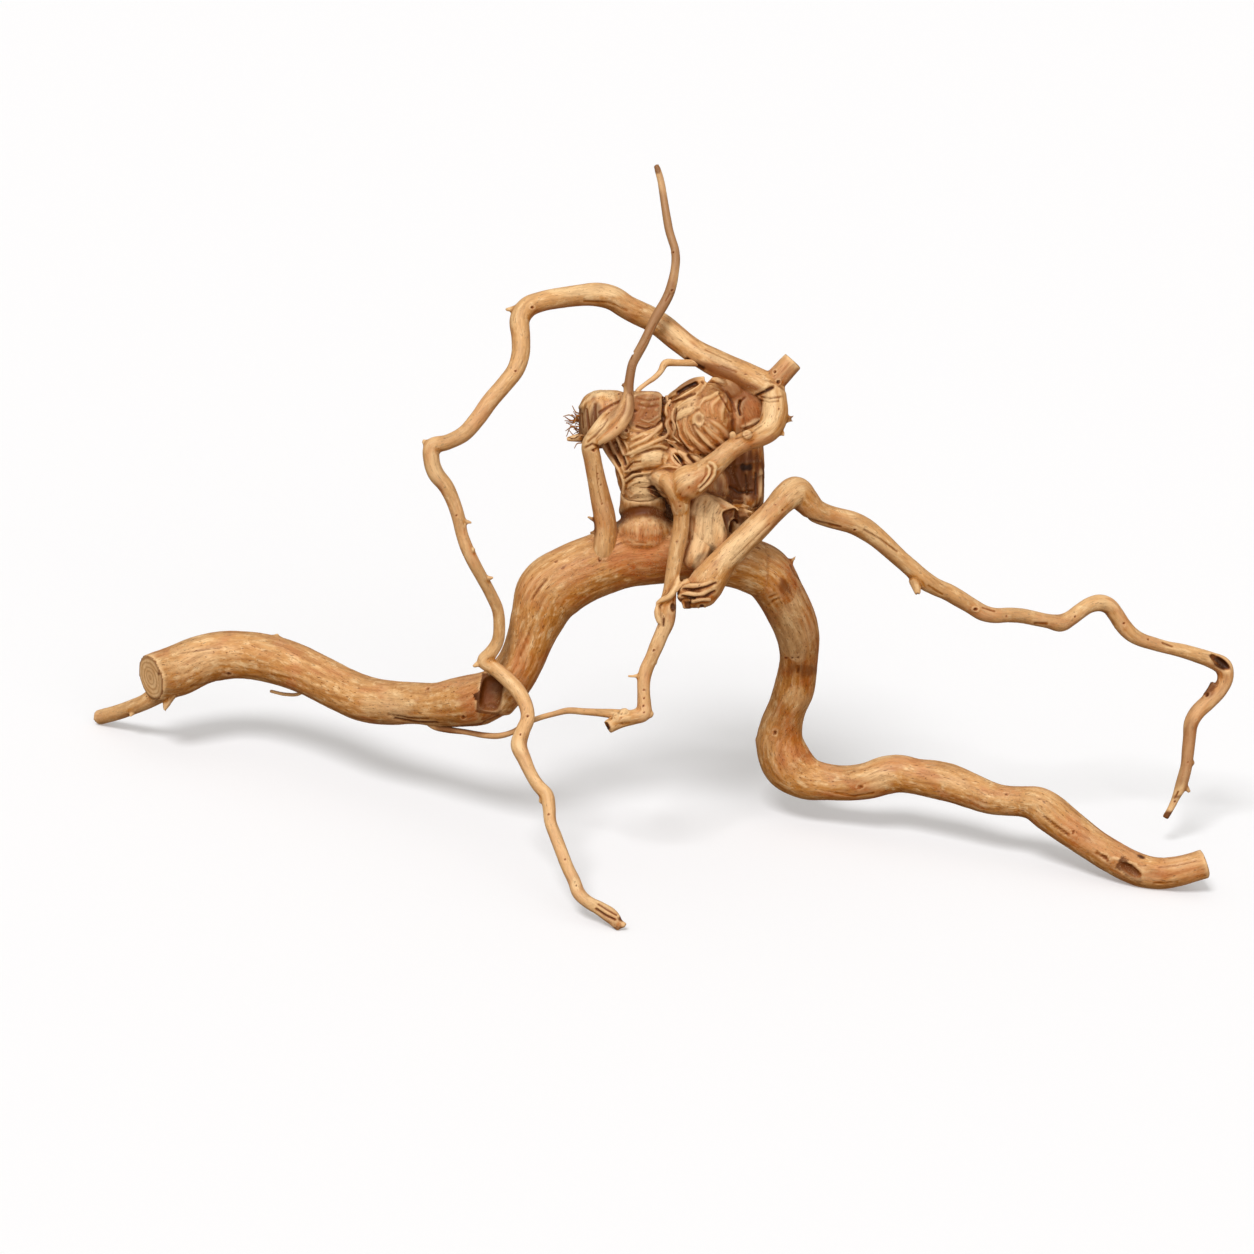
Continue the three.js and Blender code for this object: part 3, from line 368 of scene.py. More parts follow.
# %% Finer roots on the burl
ABOVE_THE_BURL = [                   # three strands and a pale flake
    [[17.4, 96.6, 1.0], [20.4, 99, 1.4], [24.4, 101.4, 1.8], [28.4, 103.4, 1.8], [33, 104.6, 1.3]],
    [[19, 94.8, 0.7], [22.8, 97, 1.0], [27.4, 99.6, 1.1], [31.6, 102.6, 0.9]],
    [[25.4, 96, 0.6], [29, 98.2, 0.8], [31.6, 100.6, 0.7], [33.4, 103.2, 0.5]],
    [[35.4, 104.4, 0.9], [38.2, 104, 1.3], [41, 102.6, 0.9]],
]
ROUND_THE_BURL = [                   # soft ridges
    [[20.2, 91.2, 1.2], [23.6, 93.8, 2.2], [27.6, 95.6, 2.4], [31, 97, 1.6]],
    [[20.2, 87.4, 1.0], [23.2, 89.4, 2.2], [26.8, 91.0, 2.3], [30.4, 92.6, 1.5]],
    [[21.2, 86.2, 1.2], [22.2, 82.2, 2.1], [24.6, 78.6, 2.1], [28.2, 75.2, 1.4]],
    [[24.6, 88, 1.4], [25.4, 83.6, 2.3], [28.2, 79.2, 2.3], [32.2, 75.6, 1.9], [35.6, 73.2, 1.2]],
    [[28.4, 84.8, 1.3], [30.6, 81.6, 2.1], [34.2, 77.8, 2.1], [38.4, 75, 1.3]],
    [[32.4, 84.4, 1.3], [36, 81.4, 2.3], [39.8, 78, 2.0], [42.4, 76, 1.2]],
    [[33, 88, 1.3], [37.6, 85.4, 2.0], [41.6, 81.6, 1.7], [43.4, 79.4, 1.0]],
    [[32.2, 90.4, 1.1], [31, 92.8, 1.6], [32.2, 95, 1.7], [35.4, 96.6, 1.3], [38.4, 98.6, 0.9]],
    [[36, 89.6, 1.2], [35.4, 92.8, 1.7], [37.2, 95.2, 1.6], [39.6, 97.4, 1.1]],
    [[39.4, 87, 1.2], [39.4, 91.4, 1.8], [40.8, 95.4, 1.5], [41.6, 98.4, 0.9]],
]
ROOT_RISE, GAP_ROOT_RISE, RIDGE_RISE = 0.3, 0.35, -0.72       # how far a root's middle stands out, in radii

# %% The strut's top, and two pale arms beside it
ARMS = [
    [
        [-17, 77.8, 49, 1.9], [-15, 80.8, 52, 2.2], [-12.6, 83.8, 52.8, 2.4], [-10.4, 86.8, 51.4, 2.3],
        [-8.8, 89.4, 47.6, 1.8],
    ],
    [
        [-13.8, 77.0, 51, 2.0], [-9.4, 79.8, 53.6, 2.3], [-5, 83.0, 54.2, 2.5], [-1.8, 86.6, 54.2, 2.6],
        [0.2, 91, 53.2, 2.6], [0.7, 97, 52, 2.2],
    ],
]
ARM_STRUT = STRUT[:7] + [
    [-15.4, 76.6, 50.6, 3.9], [-13, 80.2, 51.2, 4.0], [-9, 83.6, 51.8, 4.1],
    [-4.8, 87.4, 52, 3.9], [-1.4, 91.8, 51.9, 3.2],
    [0.4, 97, 51.6, 2.4],
] + STRUT[13:-2] + [[13.1, 192.4, 35, 1.4], [12.3, 194.8, 34.4, 1.1]]

# %% [markdown]
# ## From a route to a tube
# Each route is bent into a smooth path by a centripetal spline, which never loops between close
# stations. The path keeps a frame that turns as little as possible, so that grain can run along it.

# %% A smooth path with a frame
def follow(stations, step=1.0):
    """Rows of place and radius in mm on the sheet, about one step apart."""
    st = np.asarray(stations, float)
    rows = np.column_stack([on_sheet(st[:, :3]), st[:, 3] * SHEET_SCALE * nearness(st[:, 2])])
    ends = np.vstack([2 * rows[0] - rows[1], rows, 2 * rows[-1] - rows[-2]])
    out = []
    for p0, p1, p2, p3 in zip(ends, ends[1:], ends[2:], ends[3:]):
        d0, d1, d2 = (np.linalg.norm((b - a)[:3]) ** 0.5 for a, b in ((p0, p1), (p1, p2), (p2, p3)))
        m1 = ((p1 - p0) / d0 - (p2 - p0) / (d0 + d1) + (p2 - p1) / d1) * d1
        m2 = ((p2 - p1) / d1 - (p3 - p1) / (d1 + d2) + (p3 - p2) / d2) * d1
        count = max(1, math.ceil(d1 * d1 / step))
        t = (np.arange(count) / count)[:, None]
        out.append((2 * t**3 - 3 * t**2 + 1) * p1 + (t**3 - 2 * t**2 + t) * m1
                   + (3 * t**2 - 2 * t**3) * p2 + (t**3 - t**2) * m2)
    return np.vstack(out + [rows[-1:]])


class Limb:
    """A path in the frame, in metres, with its radius, its frame and the length so far."""

    def __init__(self, stations, step=1.0):
        rows = follow(stations, step)
        self.centre = ((rows[:, :3] - foot_f) @ TURN.T - PLAN_CENTRE) * 0.001
        self.radius = np.maximum(rows[:, 3], 0.15) * 0.001
        self.tangent = unit(np.gradient(self.centre, axis=0))
        side, sides = TURN @ np.array([0.31, 0.17, 0.93]), []
        for t in self.tangent:
            side = unit(side - t * (side @ t))
            sides.append(side)
        self.side = np.array(sides)
        self.over = np.cross(self.tangent, self.side)
        gaps = np.linalg.norm(np.diff(self.centre, axis=0), axis=1)
        self.along = np.concatenate([[0], np.cumsum(gaps)])


def spur(root, tip, thick, thin):
    return Limb([[*root, thick], [*tip, thin]], 0.5)


print("log", round(Limb(LOG).along[-1] * 1000), "mm long, right leg",
      round(Limb(RIGHT_LEG).along[-1] * 1000), "mm, hoop", round(Limb(HOOP).along[-1] * 1000), "mm")

# %% [markdown]
# ## A node tree that sweeps every limb
# Limbs repeat one rule: a ring carried along a path, as wide as the path says. Geometry Nodes do that
# for all paths of a piece at once. Lumps that are already faces pass through beside them.

# %% Helpers for node trees
def wire(tree, kind, settings=None, **values):
    """Adds a node; a value that is a socket is linked, and any other is set."""
    made = tree.nodes.new(kind)
    for key, value in (settings or {}).items():
        setattr(made, key, value)
    for key, value in values.items():
        socket = made.inputs[int(key[1:]) if key[1:].isdigit() else key.replace("_", " ")]
        if isinstance(value, bpy.types.NodeSocket):
            tree.links.new(value, socket)
        else:
            socket.default_value = value
    return made


def geometry_tree(name, **sizes):
    """A new tree with a geometry in and out and named sizes. Returns it and its input node."""
    tree = bpy.data.node_groups.new(name, "GeometryNodeTree")
    tree.interface.new_socket("Geometry", in_out="INPUT", socket_type="NodeSocketGeometry")
    tree.interface.new_socket("Geometry", in_out="OUTPUT", socket_type="NodeSocketGeometry")
    for key, value in sizes.items():
        kind = {int: "NodeSocketInt", float: "NodeSocketFloat"}.get(type(value), "NodeSocketMaterial")
        socket = tree.interface.new_socket(key.replace("_", " "), in_out="INPUT", socket_type=kind)
        if value is not None:
            socket.default_value = value
    return tree, tree.nodes.new("NodeGroupInput")


def close_tree(tree, geometry, material):
    real = wire(tree, "GeometryNodeRealizeInstances", Geometry=geometry)
    coat = wire(tree, "GeometryNodeSetMaterial", Geometry=real.outputs[0], Material=material)
    wire(tree, "NodeGroupOutput", Geometry=coat.outputs[0])
    return tree


def use_tree(piece, tree, **values):
    """Puts a tree on a piece and sets its inputs by their sockets' identifiers."""
    modifier = piece.modifiers.new(tree.name, "NODES")
    modifier.node_group = tree
    for item in tree.interface.items_tree:
        key = item.name.replace(" ", "_")
        if item.item_type == "SOCKET" and item.in_out == "INPUT" and key in values:
            modifier[item.identifier] = values[key]
    return modifier


def named(tree, name, kind="FLOAT"):
    return wire(tree, "GeometryNodeInputNamedAttribute", {"data_type": kind}, Name=name).outputs[0]


# %% The limb tree
limb_tree, given = geometry_tree("swept limbs", Sides=24, Wood=None)
thickness = named(limb_tree, "radius")
is_path = wire(limb_tree, "FunctionNodeCompare", {"operation": "GREATER_THAN"}, i0=thickness, i1=0.0)
lumps = wire(limb_tree, "GeometryNodeDeleteGeometry", Geometry=given.outputs[0], Selection=is_path.outputs[0])
paths = wire(limb_tree, "GeometryNodeMeshToCurve", Mesh=given.outputs[0], Selection=is_path.outputs[0])
ring = wire(limb_tree, "GeometryNodeCurvePrimitiveCircle", Resolution=given.outputs["Sides"], Radius=1.0)
tubes = wire(limb_tree, "GeometryNodeCurveToMesh", Curve=paths.outputs[0], Profile_Curve=ring.outputs[0],
             Scale=thickness, Fill_Caps=True)
both = wire(limb_tree, "GeometryNodeJoinGeometry", Geometry=tubes.outputs[0])
limb_tree.links.new(lumps.outputs[0], both.inputs[0])
close_tree(limb_tree, both.outputs[0], given.outputs["Wood"])
print(limb_tree.name, "has", len(limb_tree.nodes), "nodes")

# %% [markdown]
# ## Growing limbs together
# Real limbs have no seam where they meet. A voxel remesh of the overlapping tubes gives one skin, a
# little smoothing takes the steps off it, and hollows are cut out of it in between.

# %% Lumps, and one skin from many limbs
def ball(at, half, square=1.0, turn=0.0, grain=None, swirl=None, around=36):
    """Places and faces of a ball pressed towards a block. Its grain or swirl is used later."""
    lat = np.linspace(0, math.pi, around // 2 + 1)[1:-1]
    lon = np.arange(around) * 2 * math.pi / around
    grid = np.stack(np.broadcast_arrays(np.sin(lat)[:, None] * np.cos(lon), np.cos(lat)[:, None],
                                        np.sin(lat)[:, None] * np.sin(lon)), -1).reshape(-1, 3)
    points = np.vstack([grid, [[0, 1, 0], [0, -1, 0]]])
    pressed = np.sign(points) * np.abs(points) ** square * np.array(half) * SHEET_SCALE * nearness(at[2])
    c, s = math.cos(math.radians(turn)), math.sin(math.radians(turn))
    pressed = pressed @ np.array([[c, s, 0], [-s, c, 0], [0, 0, 1]])
    places = ((pressed + on_sheet(at) - foot_f) @ TURN.T - PLAN_CENTRE) * 0.001
    rows, n = len(lat), around
    faces = [(i * n + j, i * n + (j + 1) % n, (i + 1) * n + (j + 1) % n, (i + 1) * n + j)
             for i in range(rows - 1) for j in range(n)]
    faces += [(rows * n, (j + 1) % n, j) for j in range(n)]
    faces += [(rows * n + 1, (rows - 1) * n + j, (rows - 1) * n + (j + 1) % n) for j in range(n)]
    return places, faces


def raw_mesh(name, limbs, balls):
    places, edges, faces, radii = [], [], [], []
    for limb in limbs:
        start = sum(map(len, places))
        edges += [(start + i, start + i + 1) for i in range(len(limb.centre) - 1)]
        places.append(limb.centre)
        radii.append(limb.radius)
    for spots, around in balls:
        start = sum(map(len, places))
        faces += [tuple(start + i for i in face) for face in around]
        places.append(spots)
        radii.append(np.zeros(len(spots)))
    mesh = bpy.data.meshes.new(name)
    mesh.from_pydata(np.vstack(places).tolist(), edges, faces)
    radius = mesh.attributes.new("radius", "FLOAT", "POINT")
    radius.data.foreach_set("value", np.concatenate(radii).astype(np.float32))
    return mesh


def shown(name, mesh):
    piece = bpy.data.objects.new(name, mesh)
    bpy.context.scene.collection.objects.link(piece)
    return piece


def baked(piece):
    """The piece's mesh after its modifiers, which are then gone with the piece."""
    bpy.context.view_layer.update()
    mesh = bpy.data.meshes.new_from_object(piece.evaluated_get(bpy.context.evaluated_depsgraph_get()))
    bpy.data.objects.remove(piece)
    return mesh


def one_skin(name, limbs, lobes, voxel, smooth, hollows=()):
    """Grows limbs and lobes into one closed skin. voxel is in mm."""
    piece = shown(name, raw_mesh(name, limbs, [ball(**lobe) for lobe in lobes]))
    use_tree(piece, limb_tree, Sides=24, Wood=wood)
    union = piece.modifiers.new("union", "REMESH")
    union.mode, union.voxel_size, union.use_smooth_shade = "VOXEL", voxel * 0.001, True
    cutters = None
    if hollows:
        cutters = shown(name + "_hollows", raw_mesh("hollows", [], [ball(**h) for h in hollows]))
        cut = piece.modifiers.new("cut", "BOOLEAN")
        cut.operation, cut.solver, cut.object = "DIFFERENCE", "MANIFOLD", cutters
        again = piece.modifiers.new("again", "REMESH")
        again.mode, again.voxel_size, again.use_smooth_shade = "VOXEL", voxel * 0.001, True
    soft = piece.modifiers.new("smooth", "SMOOTH")
    soft.factor, soft.iterations = 0.5, smooth
    mesh = baked(piece)
    if cutters:
        bpy.data.objects.remove(cutters)
    print(f"{name}: {len(mesh.polygons)} faces")
    return mesh

# %% [markdown]
# ## The grain of each limb
# Wood grain follows the limb, also round a bend. So every point gets a place inside its own log: two
# numbers across and one along, in mm. All patterns read those three numbers.

# %% Grain coordinates
GRAIN_SHIFT = np.array([31.0, 17.0, 220.0])      # how far apart two limbs lie in the pattern, in mm


def lobe_basis(grain):
    g = unit(TURN @ np.array(grain, float))
    e = unit(np.cross(g, TURN @ np.array([0.21, 0.33, 0.92])))
    return np.array([e, np.cross(g, e), g])


def swirled(co, at, centre, reach=20.0):
    """A log place for wood whose grain runs in arcs round a centre on the sheet."""
    local = (co - to_frame(at)) @ TURN * 1000
    middle = (np.array(centre) - np.array(at)[:2]) * SHEET_SCALE
    x, y = local[:, 0] - middle[0], local[:, 1] - middle[1]
    start = -unit(middle)
    angle = np.arctan2(x * start[1] - y * start[0], x * start[0] + y * start[1])
    return np.column_stack([np.hypot(np.hypot(x, y), 5.0), local[:, 2], angle * reach])


def grain_of(co, limbs, lobes):
    """The log place of each point and the number of its limb or lobe."""
    best = np.full(len(co), 1e9)
    place, owner = np.zeros((len(co), 3)), np.zeros(len(co), int)
    for k, limb in enumerate(limbs):
        reach = limb.radius.max() + 0.012
        low, high = limb.centre.min(0) - reach, limb.centre.max(0) + reach
        near = np.flatnonzero(((co > low) & (co < high)).all(1))
        for part in np.array_split(near, max(1, len(near) // 8000)):
            if not len(part):
                continue
            v = co[part]
            d2 = (v**2).sum(1)[:, None] + (limb.centre**2).sum(1) - 2 * v @ limb.centre.T
            i = (np.sqrt(np.maximum(d2, 0)) - limb.radius).argmin(1)
            off = v - limb.centre[i]
            ahead = (off * limb.tangent[i]).sum(1)
            flat = off - ahead[:, None] * limb.tangent[i]
            gap = np.linalg.norm(off, axis=1) - limb.radius[i]
            better = gap < best[part]
            chosen = part[better]
            best[chosen] = gap[better]
            owner[chosen] = k
            place[chosen] = np.column_stack([(flat * limb.side[i]).sum(1), (flat * limb.over[i]).sum(1),
                                             limb.along[i] + ahead])[better] * 1000 + GRAIN_SHIFT * k
    for k, lobe in enumerate(lobes, len(limbs)):
        off = co - to_frame(lobe["at"])
        size = np.array(lobe["half"]) * SHEET_SCALE * 0.001
        q = np.linalg.norm(np.abs(off @ TURN / size) ** (1 / max(lobe.get("square", 1), 0.6)), axis=1)
        gap = (q - 1) * size.mean() + 0.0006
        better = gap < best
        best[better] = gap[better]
        owner[better] = k
        if lobe.get("swirl"):
            inner = swirled(co[better], lobe["at"], lobe["swirl"])
        else:
            inner = (off @ lobe_basis(lobe.get("grain") or (0, 1, 0)).T)[better] * 1000
        place[better] = inner + GRAIN_SHIFT * k
    return place, owner

# %% [markdown]
# ## The wood's finish
# Debarked root wood is streaky along its grain: honey tan, with orange-brown bands where the bark sat
# longest and dark flecks a few millimetres long. Ridges get a painted highlight, furrows and cavities
# painted shade, the upward side painted light and the underside painted shade. The streaks are noise
# in the log's own space, so they bend with the limb.

# %% Colours and the material
def linear(r, g, b):
    """An sRGB colour from 0 to 255 as the linear one that shaders use."""
    shares = [c / 255 for c in (r, g, b)]
    return tuple(c / 12.92 if c <= 10 / 255 else ((c + 0.055) / 1.055) ** 2.4 for c in shares) + (1.0,)


HONEY, CREAM, TAN = linear(197, 129, 54), linear(243, 204, 152), linear(166, 96, 30)
RUST, UMBER, SHADE_AND_ROT_BLACK, ASH = linear(184, 92, 22), linear(112, 56, 14), linear(40, 17, 5), linear(98, 78, 54)

wood = bpy.data.materials.new("root_wood")
wood.use_nodes = True
tree = wood.node_tree
tree.nodes.clear()


def tone(name):
    return wire(tree, "ShaderNodeAttribute", {"attribute_name": name}).outputs["Fac"]


def pattern(scale, detail=3.0, rough=0.55, bend=0.0):
    """Noise in the log's own space, in mm."""
    place = wire(tree, "ShaderNodeMapping", Vector=log_place, Scale=scale)
    noise = wire(tree, "ShaderNodeTexNoise", Vector=place.outputs[0], Scale=1.0, Detail=detail,
                 Roughness=rough, Distortion=bend)
    return noise.outputs[0]


def span(value, low, high, to_low=0.0, to_high=1.0):
    return wire(tree, "ShaderNodeMapRange", i0=value, i1=low, i2=high, i3=to_low, i4=to_high).outputs[0]


def mixed(share, a, b, blend="MIX"):
    made = tree.nodes.new("ShaderNodeMix")
    made.data_type, made.blend_type = "RGBA", blend
    for value, socket in ((share, made.inputs[0]), (a, made.inputs[6]), (b, made.inputs[7])):
        if isinstance(value, bpy.types.NodeSocket):
            tree.links.new(value, socket)
        else:
            socket.default_value = value
    return made.outputs[2]


def compute(operation, a, b=0.0, clamp=False):
    return wire(tree, "ShaderNodeMath", {"operation": operation, "use_clamp": clamp}, i0=a, i1=b).outputs[0]


def product(a, b):
    return compute("MULTIPLY", a, b, True)


log_place = wire(tree, "ShaderNodeAttribute", {"attribute_name": "grain"}).outputs["Vector"]
streaks = pattern((0.50, 0.50, 0.12), 4.0, 0.62, 0.6)
mottle = pattern((0.34, 0.34, 0.22), 5.0, 0.66, 0.5)
bands = pattern((0.11, 0.11, 0.055), 4.0, 0.6, 0.5)
fine = pattern((2.1, 2.1, 0.24), 3.0, 0.6)
dash = pattern((1.9, 1.9, 0.42), 1.0, 0.5)
speck = pattern((0.85, 0.85, 0.6), 1.0, 0.5)
ramp = wire(tree, "ShaderNodeValToRGB", i0=compute("MULTIPLY", compute("ADD", streaks, mottle), 0.5))
ramp.color_ramp.interpolation = "B_SPLINE"
stops = ((0.36, TAN), (0.46, HONEY), (0.53, HONEY), (0.61, CREAM))
ends = ramp.color_ramp.elements
ends[0].position, ends[0].color = stops[0]
ends[1].position, ends[1].color = stops[-1]
for spot, colour in stops[1:-1]:
    ends.new(spot).color = colour
colour = ramp.outputs[0]
colour = mixed(span(bands, 0.50, 0.64, 0.0, 0.70), colour, RUST)
colour = mixed(span(bands, 0.30, 0.42, 0.35, 0.0), colour, CREAM)
colour = mixed(product(tone("orange"), span(mottle, 0.34, 0.62, 0.35, 1.0)), colour, RUST)
# The pale tone is real pale wood, and also painted highlights and painted light on shaded parts.
colour = mixed(product(tone("pale"), span(mottle, 0.35, 0.6, 0.75, 1.0)), colour, CREAM)
# Painted light and shade: the upward, lit side is painted paler and the underside darker.
colour = mixed(span(tone("painted_light_facing"), 0.30, 1.0, 0.0, 0.30), colour, CREAM)
colour = mixed(span(tone("painted_light_facing"), 0.05, -0.9, 0.0, 0.34), colour, UMBER)
colour = mixed(product(tone("grey"), 0.85), colour, ASH)
colour = mixed(span(fine, 0.50, 0.70, 0.0, 0.42), colour, UMBER)
colour = mixed(span(dash, 0.66, 0.72, 0.0, 0.8), colour, UMBER)
colour = mixed(span(speck, 0.71, 0.76, 0.0, 0.7), colour, UMBER)
# Painted shade in furrows, hollows and creases, near black in the deepest creases, and a painted highlight on
# ridges, where crease is below 0.
colour = mixed(span(tone("furrow"), 0.02, -0.16, 0.0, 0.24), colour, UMBER)
colour = mixed(span(tone("hollow"), 0.12, 1.6, 0.0, 0.80), colour, UMBER)
colour = mixed(span(tone("crease"), 0.03, 0.30, 0.0, 0.80), colour, UMBER)
colour = mixed(span(tone("crease"), 0.30, 0.60, 0.0, 0.75), colour, SHADE_AND_ROT_BLACK)
colour = mixed(span(tone("crease"), -0.03, -0.20, 0.0, 0.60), colour, CREAM)
ring_phase = compute("ADD", compute("MULTIPLY", tone("ring"), 30.0), compute("MULTIPLY", bands, 12.0))
rings = compute("SINE", ring_phase)
sawn_wood = mixed(span(mottle, 0.35, 0.65, 0.0, 0.5), CREAM, HONEY)
sawn_wood = mixed(span(rings, -0.2, 0.9, 0.0, 0.5), sawn_wood, TAN)
sawn_wood = mixed(span(tone("ring"), 0.78, 0.98, 0.0, 0.85), sawn_wood, UMBER)
colour = mixed(tone("cut"), colour, sawn_wood)
# The dark tone is real dark stains, knots and rot, and also painted shade in gaps, on hollow floors and under
# the hoop.
colour = mixed(span(tone("dark"), 0.0, 0.6, 0.0, 0.94), colour, UMBER)
colour = mixed(span(tone("dark"), 0.5, 1.0, 0.0, 0.92), colour, SHADE_AND_ROT_BLACK)

tracks = pattern((0.9, 0.9, 0.5), 1.0, 0.4, 1.6)
track_line = span(compute("ABSOLUTE", compute("SUBTRACT", tracks, 0.5)), 0.0, 0.03, 0.6, 0.0)
where_tracks = span(pattern((0.07, 0.07, 0.05), 1.0), 0.50, 0.58)
track = product(track_line, where_tracks)
colour = mixed(product(track, 0.6), colour, CREAM)
relief = compute("SUBTRACT", compute("ADD", product(fine, 0.5), product(mottle, 0.5)), track, True)
bump = wire(tree, "ShaderNodeBump", Height=relief, Strength=0.6, Distance=0.0006)
shader = wire(tree, "ShaderNodeBsdfPrincipled", Base_Color=colour, Normal=bump.outputs[0],
              Roughness=span(mottle, 0.35, 0.65, 0.34, 0.50), Specular_IOR_Level=0.22)
wire(tree, "ShaderNodeOutputMaterial", Surface=shader.outputs[0])
print("root_wood has", len(tree.nodes), "nodes")

# %% [markdown]
# ## Marks on the skin
# Knots, pits, cracks and stains sit where they were read off the sheet, and so do some marks of painted
# shade and painted highlight. Each is a small formula on the points of the skin around that place: a
# push inward or outward in mm, and a tone that the material reads later. A tone is a number from 0 to 1
# on each point.

# %% The skin as numbers
TONES = ("dark", "orange", "pale", "grey", "cut", "ring")
FAR = 9.0                       # a distance, in widths of a mark, at which it has faded out
PROBE, PROBE_DEPTH = 1.5, 2.5   # how wide and how deep a place is felt for its skin, in sheet units


def smooth_step(x, low, high):
    t = np.clip((x - low) / (high - low), 0, 1)
    return t * t * (3 - 2 * t)


def read(collection, name, width=3):
    out = np.zeros(len(collection) * width, np.float32)
    collection.foreach_get(name, out)
    return out.reshape(-1, width).astype(float)


class Skin:
    def __init__(self, mesh, limbs, lobes):
        self.mesh = mesh
        self.co = read(mesh.vertices, "co")
        self.normal = read(mesh.vertex_normals, "vector")
        self.sheet = to_sheet(self.co)
        self.facing = (self.normal * unit(EYE - self.co)).sum(1)
        self.grain, self.owner = grain_of(self.co, limbs, lobes)
        sizes = [limb.radius.mean() * 1000 for limb in limbs] + [10.0] * len(lobes)
        self.girth = np.clip(np.array(sizes)[self.owner] / 9.0, 0.3, 1.0)
        self.push, self.fold = np.zeros(len(self.co)), np.zeros(len(self.co))
        self.tone = {name: np.zeros(len(self.co)) for name in TONES}

    def depth(self, a, u):
        """How near the front skin is at a place on the sheet, or None beside it."""
        near = (np.hypot(self.sheet[:, 0] - a, self.sheet[:, 1] - u) < PROBE) & (self.facing > 0.1)
        if not near.any():
            return None
        depths = self.sheet[near, 2]
        return depths[depths > depths.max() - PROBE_DEPTH].mean()

    def paint(self, name, share):
        self.tone[name] = np.maximum(self.tone[name], share)

    def inside(self, a, u, ra, ru, turn=0.0, reach=10.0):
        """1 at the rim of an ellipse, 0 at its middle, more outside it, and FAR behind it."""
        d = self.depth(a, u)
        if d is None:
            print(f"  no skin at {a}, {u}")
            return np.full(len(self.co), FAR)
        c, s = math.cos(math.radians(turn)), math.sin(math.radians(turn))
        x, y = self.sheet[:, 0] - a, self.sheet[:, 1] - u
        q = np.hypot((x * c + y * s) / ra, (y * c - x * s) / ru)
        return np.where(np.abs(self.sheet[:, 2] - d) < reach, q, FAR)

    def pit(self, a, u, ra, ru, turn=0.0, deep=1.0, rim=0.0, dark=0.8):
        q = self.inside(a, u, ra, ru, turn, max(5.0, 2 * deep))
        self.push -= deep * np.clip(1 - q * q, 0, 1) ** 1.5
        self.push += rim * np.exp(-(((q - 1.2) / 0.3) ** 2))
        self.paint("dark", dark * smooth_step(-q, -0.95, -0.35))
        self.paint("orange", 0.85 * smooth_step(-q, -2.3, -0.9))

    def tint(self, name, a, u, ra, ru, turn=0.0, share=1.0, reach=12.0):
        q = self.inside(a, u, ra, ru, turn, reach)
        x, y, z = self.grain.T
        wave = 0.22 * np.sin(0.9 * x + 0.35 * z) + 0.15 * np.sin(2.1 * y)
        self.paint(name, share * smooth_step(-(q + wave), -1.15, -0.45))

    def crumple(self, a, u, ra, ru, turn=0.0, share=1.0):
        """Where the folds of the relief tree show."""
        q = self.inside(a, u, ra, ru, turn, 14.0)
        self.fold = np.maximum(self.fold, share * smooth_step(-q, -1.1, -0.6))

    def stroke(self, points, width=0.5, deep=0.4, dark=0.7, tone="dark", reach=5.0):
        """A crack along some places, or a ridge if deep is below 0."""
        near = np.full(len(self.co), FAR)
        depths = [self.depth(*p) for p in points]
        for (p, dp), (q, dq) in zip(zip(points, depths), zip(points[1:], depths[1:])):
            if dp is None or dq is None:
                print(f"  no skin at {p} or {q}")
                continue
            p, q = np.array(p, float), np.array(q, float)
            line = q - p
            t = np.clip(((self.sheet[:, :2] - p) @ line) / (line @ line), 0, 1)
            gap = np.linalg.norm(self.sheet[:, :2] - p - t[:, None] * line, axis=1) / width
            level = np.abs(self.sheet[:, 2] - dp - t * (dq - dp)) < reach
            near = np.minimum(near, np.where(level, gap, FAR))
        self.push -= deep * np.exp(-(near**2))
        self.paint(tone, dark * np.exp(-((near / 1.1) ** 2)))

    def pits(self, rows, dark=0.8):
        """Many pits: across, up, half widths, turn, depth, rim and, where it differs, its own dark."""
        for row in rows:
            self.pit(*row[:7], *(row[7:] or (dark,)))

    def strokes(self, rows):
        for row in rows:
            self.stroke(*row)

    def tints(self, rows):
        for row in rows:
            self.tint(*row)

    def sawn(self, limb, end, depth=1.2):
        """Marks a sawn end of a limb: the flat face and the rings around its middle."""
        i = -1 if end else 0
        out = limb.tangent[i] if end else -limb.tangent[i]
        off = self.co - limb.centre[i]
        ahead = off @ out * 1000
        wide = np.linalg.norm(off - np.outer(off @ out, out), axis=1) * 1000
        face = (ahead > -depth) & (self.normal @ out > 0.55) & (wide < limb.radius[i] * 1400)
        self.tone["cut"][face] = 1.0
        self.tone["ring"][face] = wide[face] / (limb.radius[i] * 1000)

    def done(self):
        """Writes places, grain and tones back to the mesh."""
        self.co += self.normal * self.push[:, None] * 0.001
        self.co[:, 2] = np.maximum(self.co[:, 2], 0)
        self.mesh.vertices.foreach_set("co", self.co.astype(np.float32).ravel())
        put(self.mesh, "grain", self.grain)
        put(self.mesh, "girth", self.girth * (1 - self.tone["cut"]))
        put(self.mesh, "fold", self.fold * (1 - self.tone["cut"]))
        for name, values in self.tone.items():
            put(self.mesh, name, values)
        self.mesh.update()
        return self.mesh


def grown(name, limbs, lobes, voxel, smooth, hollows=()):
    """Limbs and lobes grown together, as numbers that the marks work on."""
    return Skin(one_skin(name, limbs, lobes, voxel, smooth, hollows), limbs, lobes)


def put(mesh, name, values):
    kind, field = ("FLOAT_VECTOR", "vector") if values.ndim == 2 else ("FLOAT", "value")
    made = mesh.attributes.get(name) or mesh.attributes.new(name, kind, "POINT")
    made.data.foreach_set(field, values.astype(np.float32).ravel())

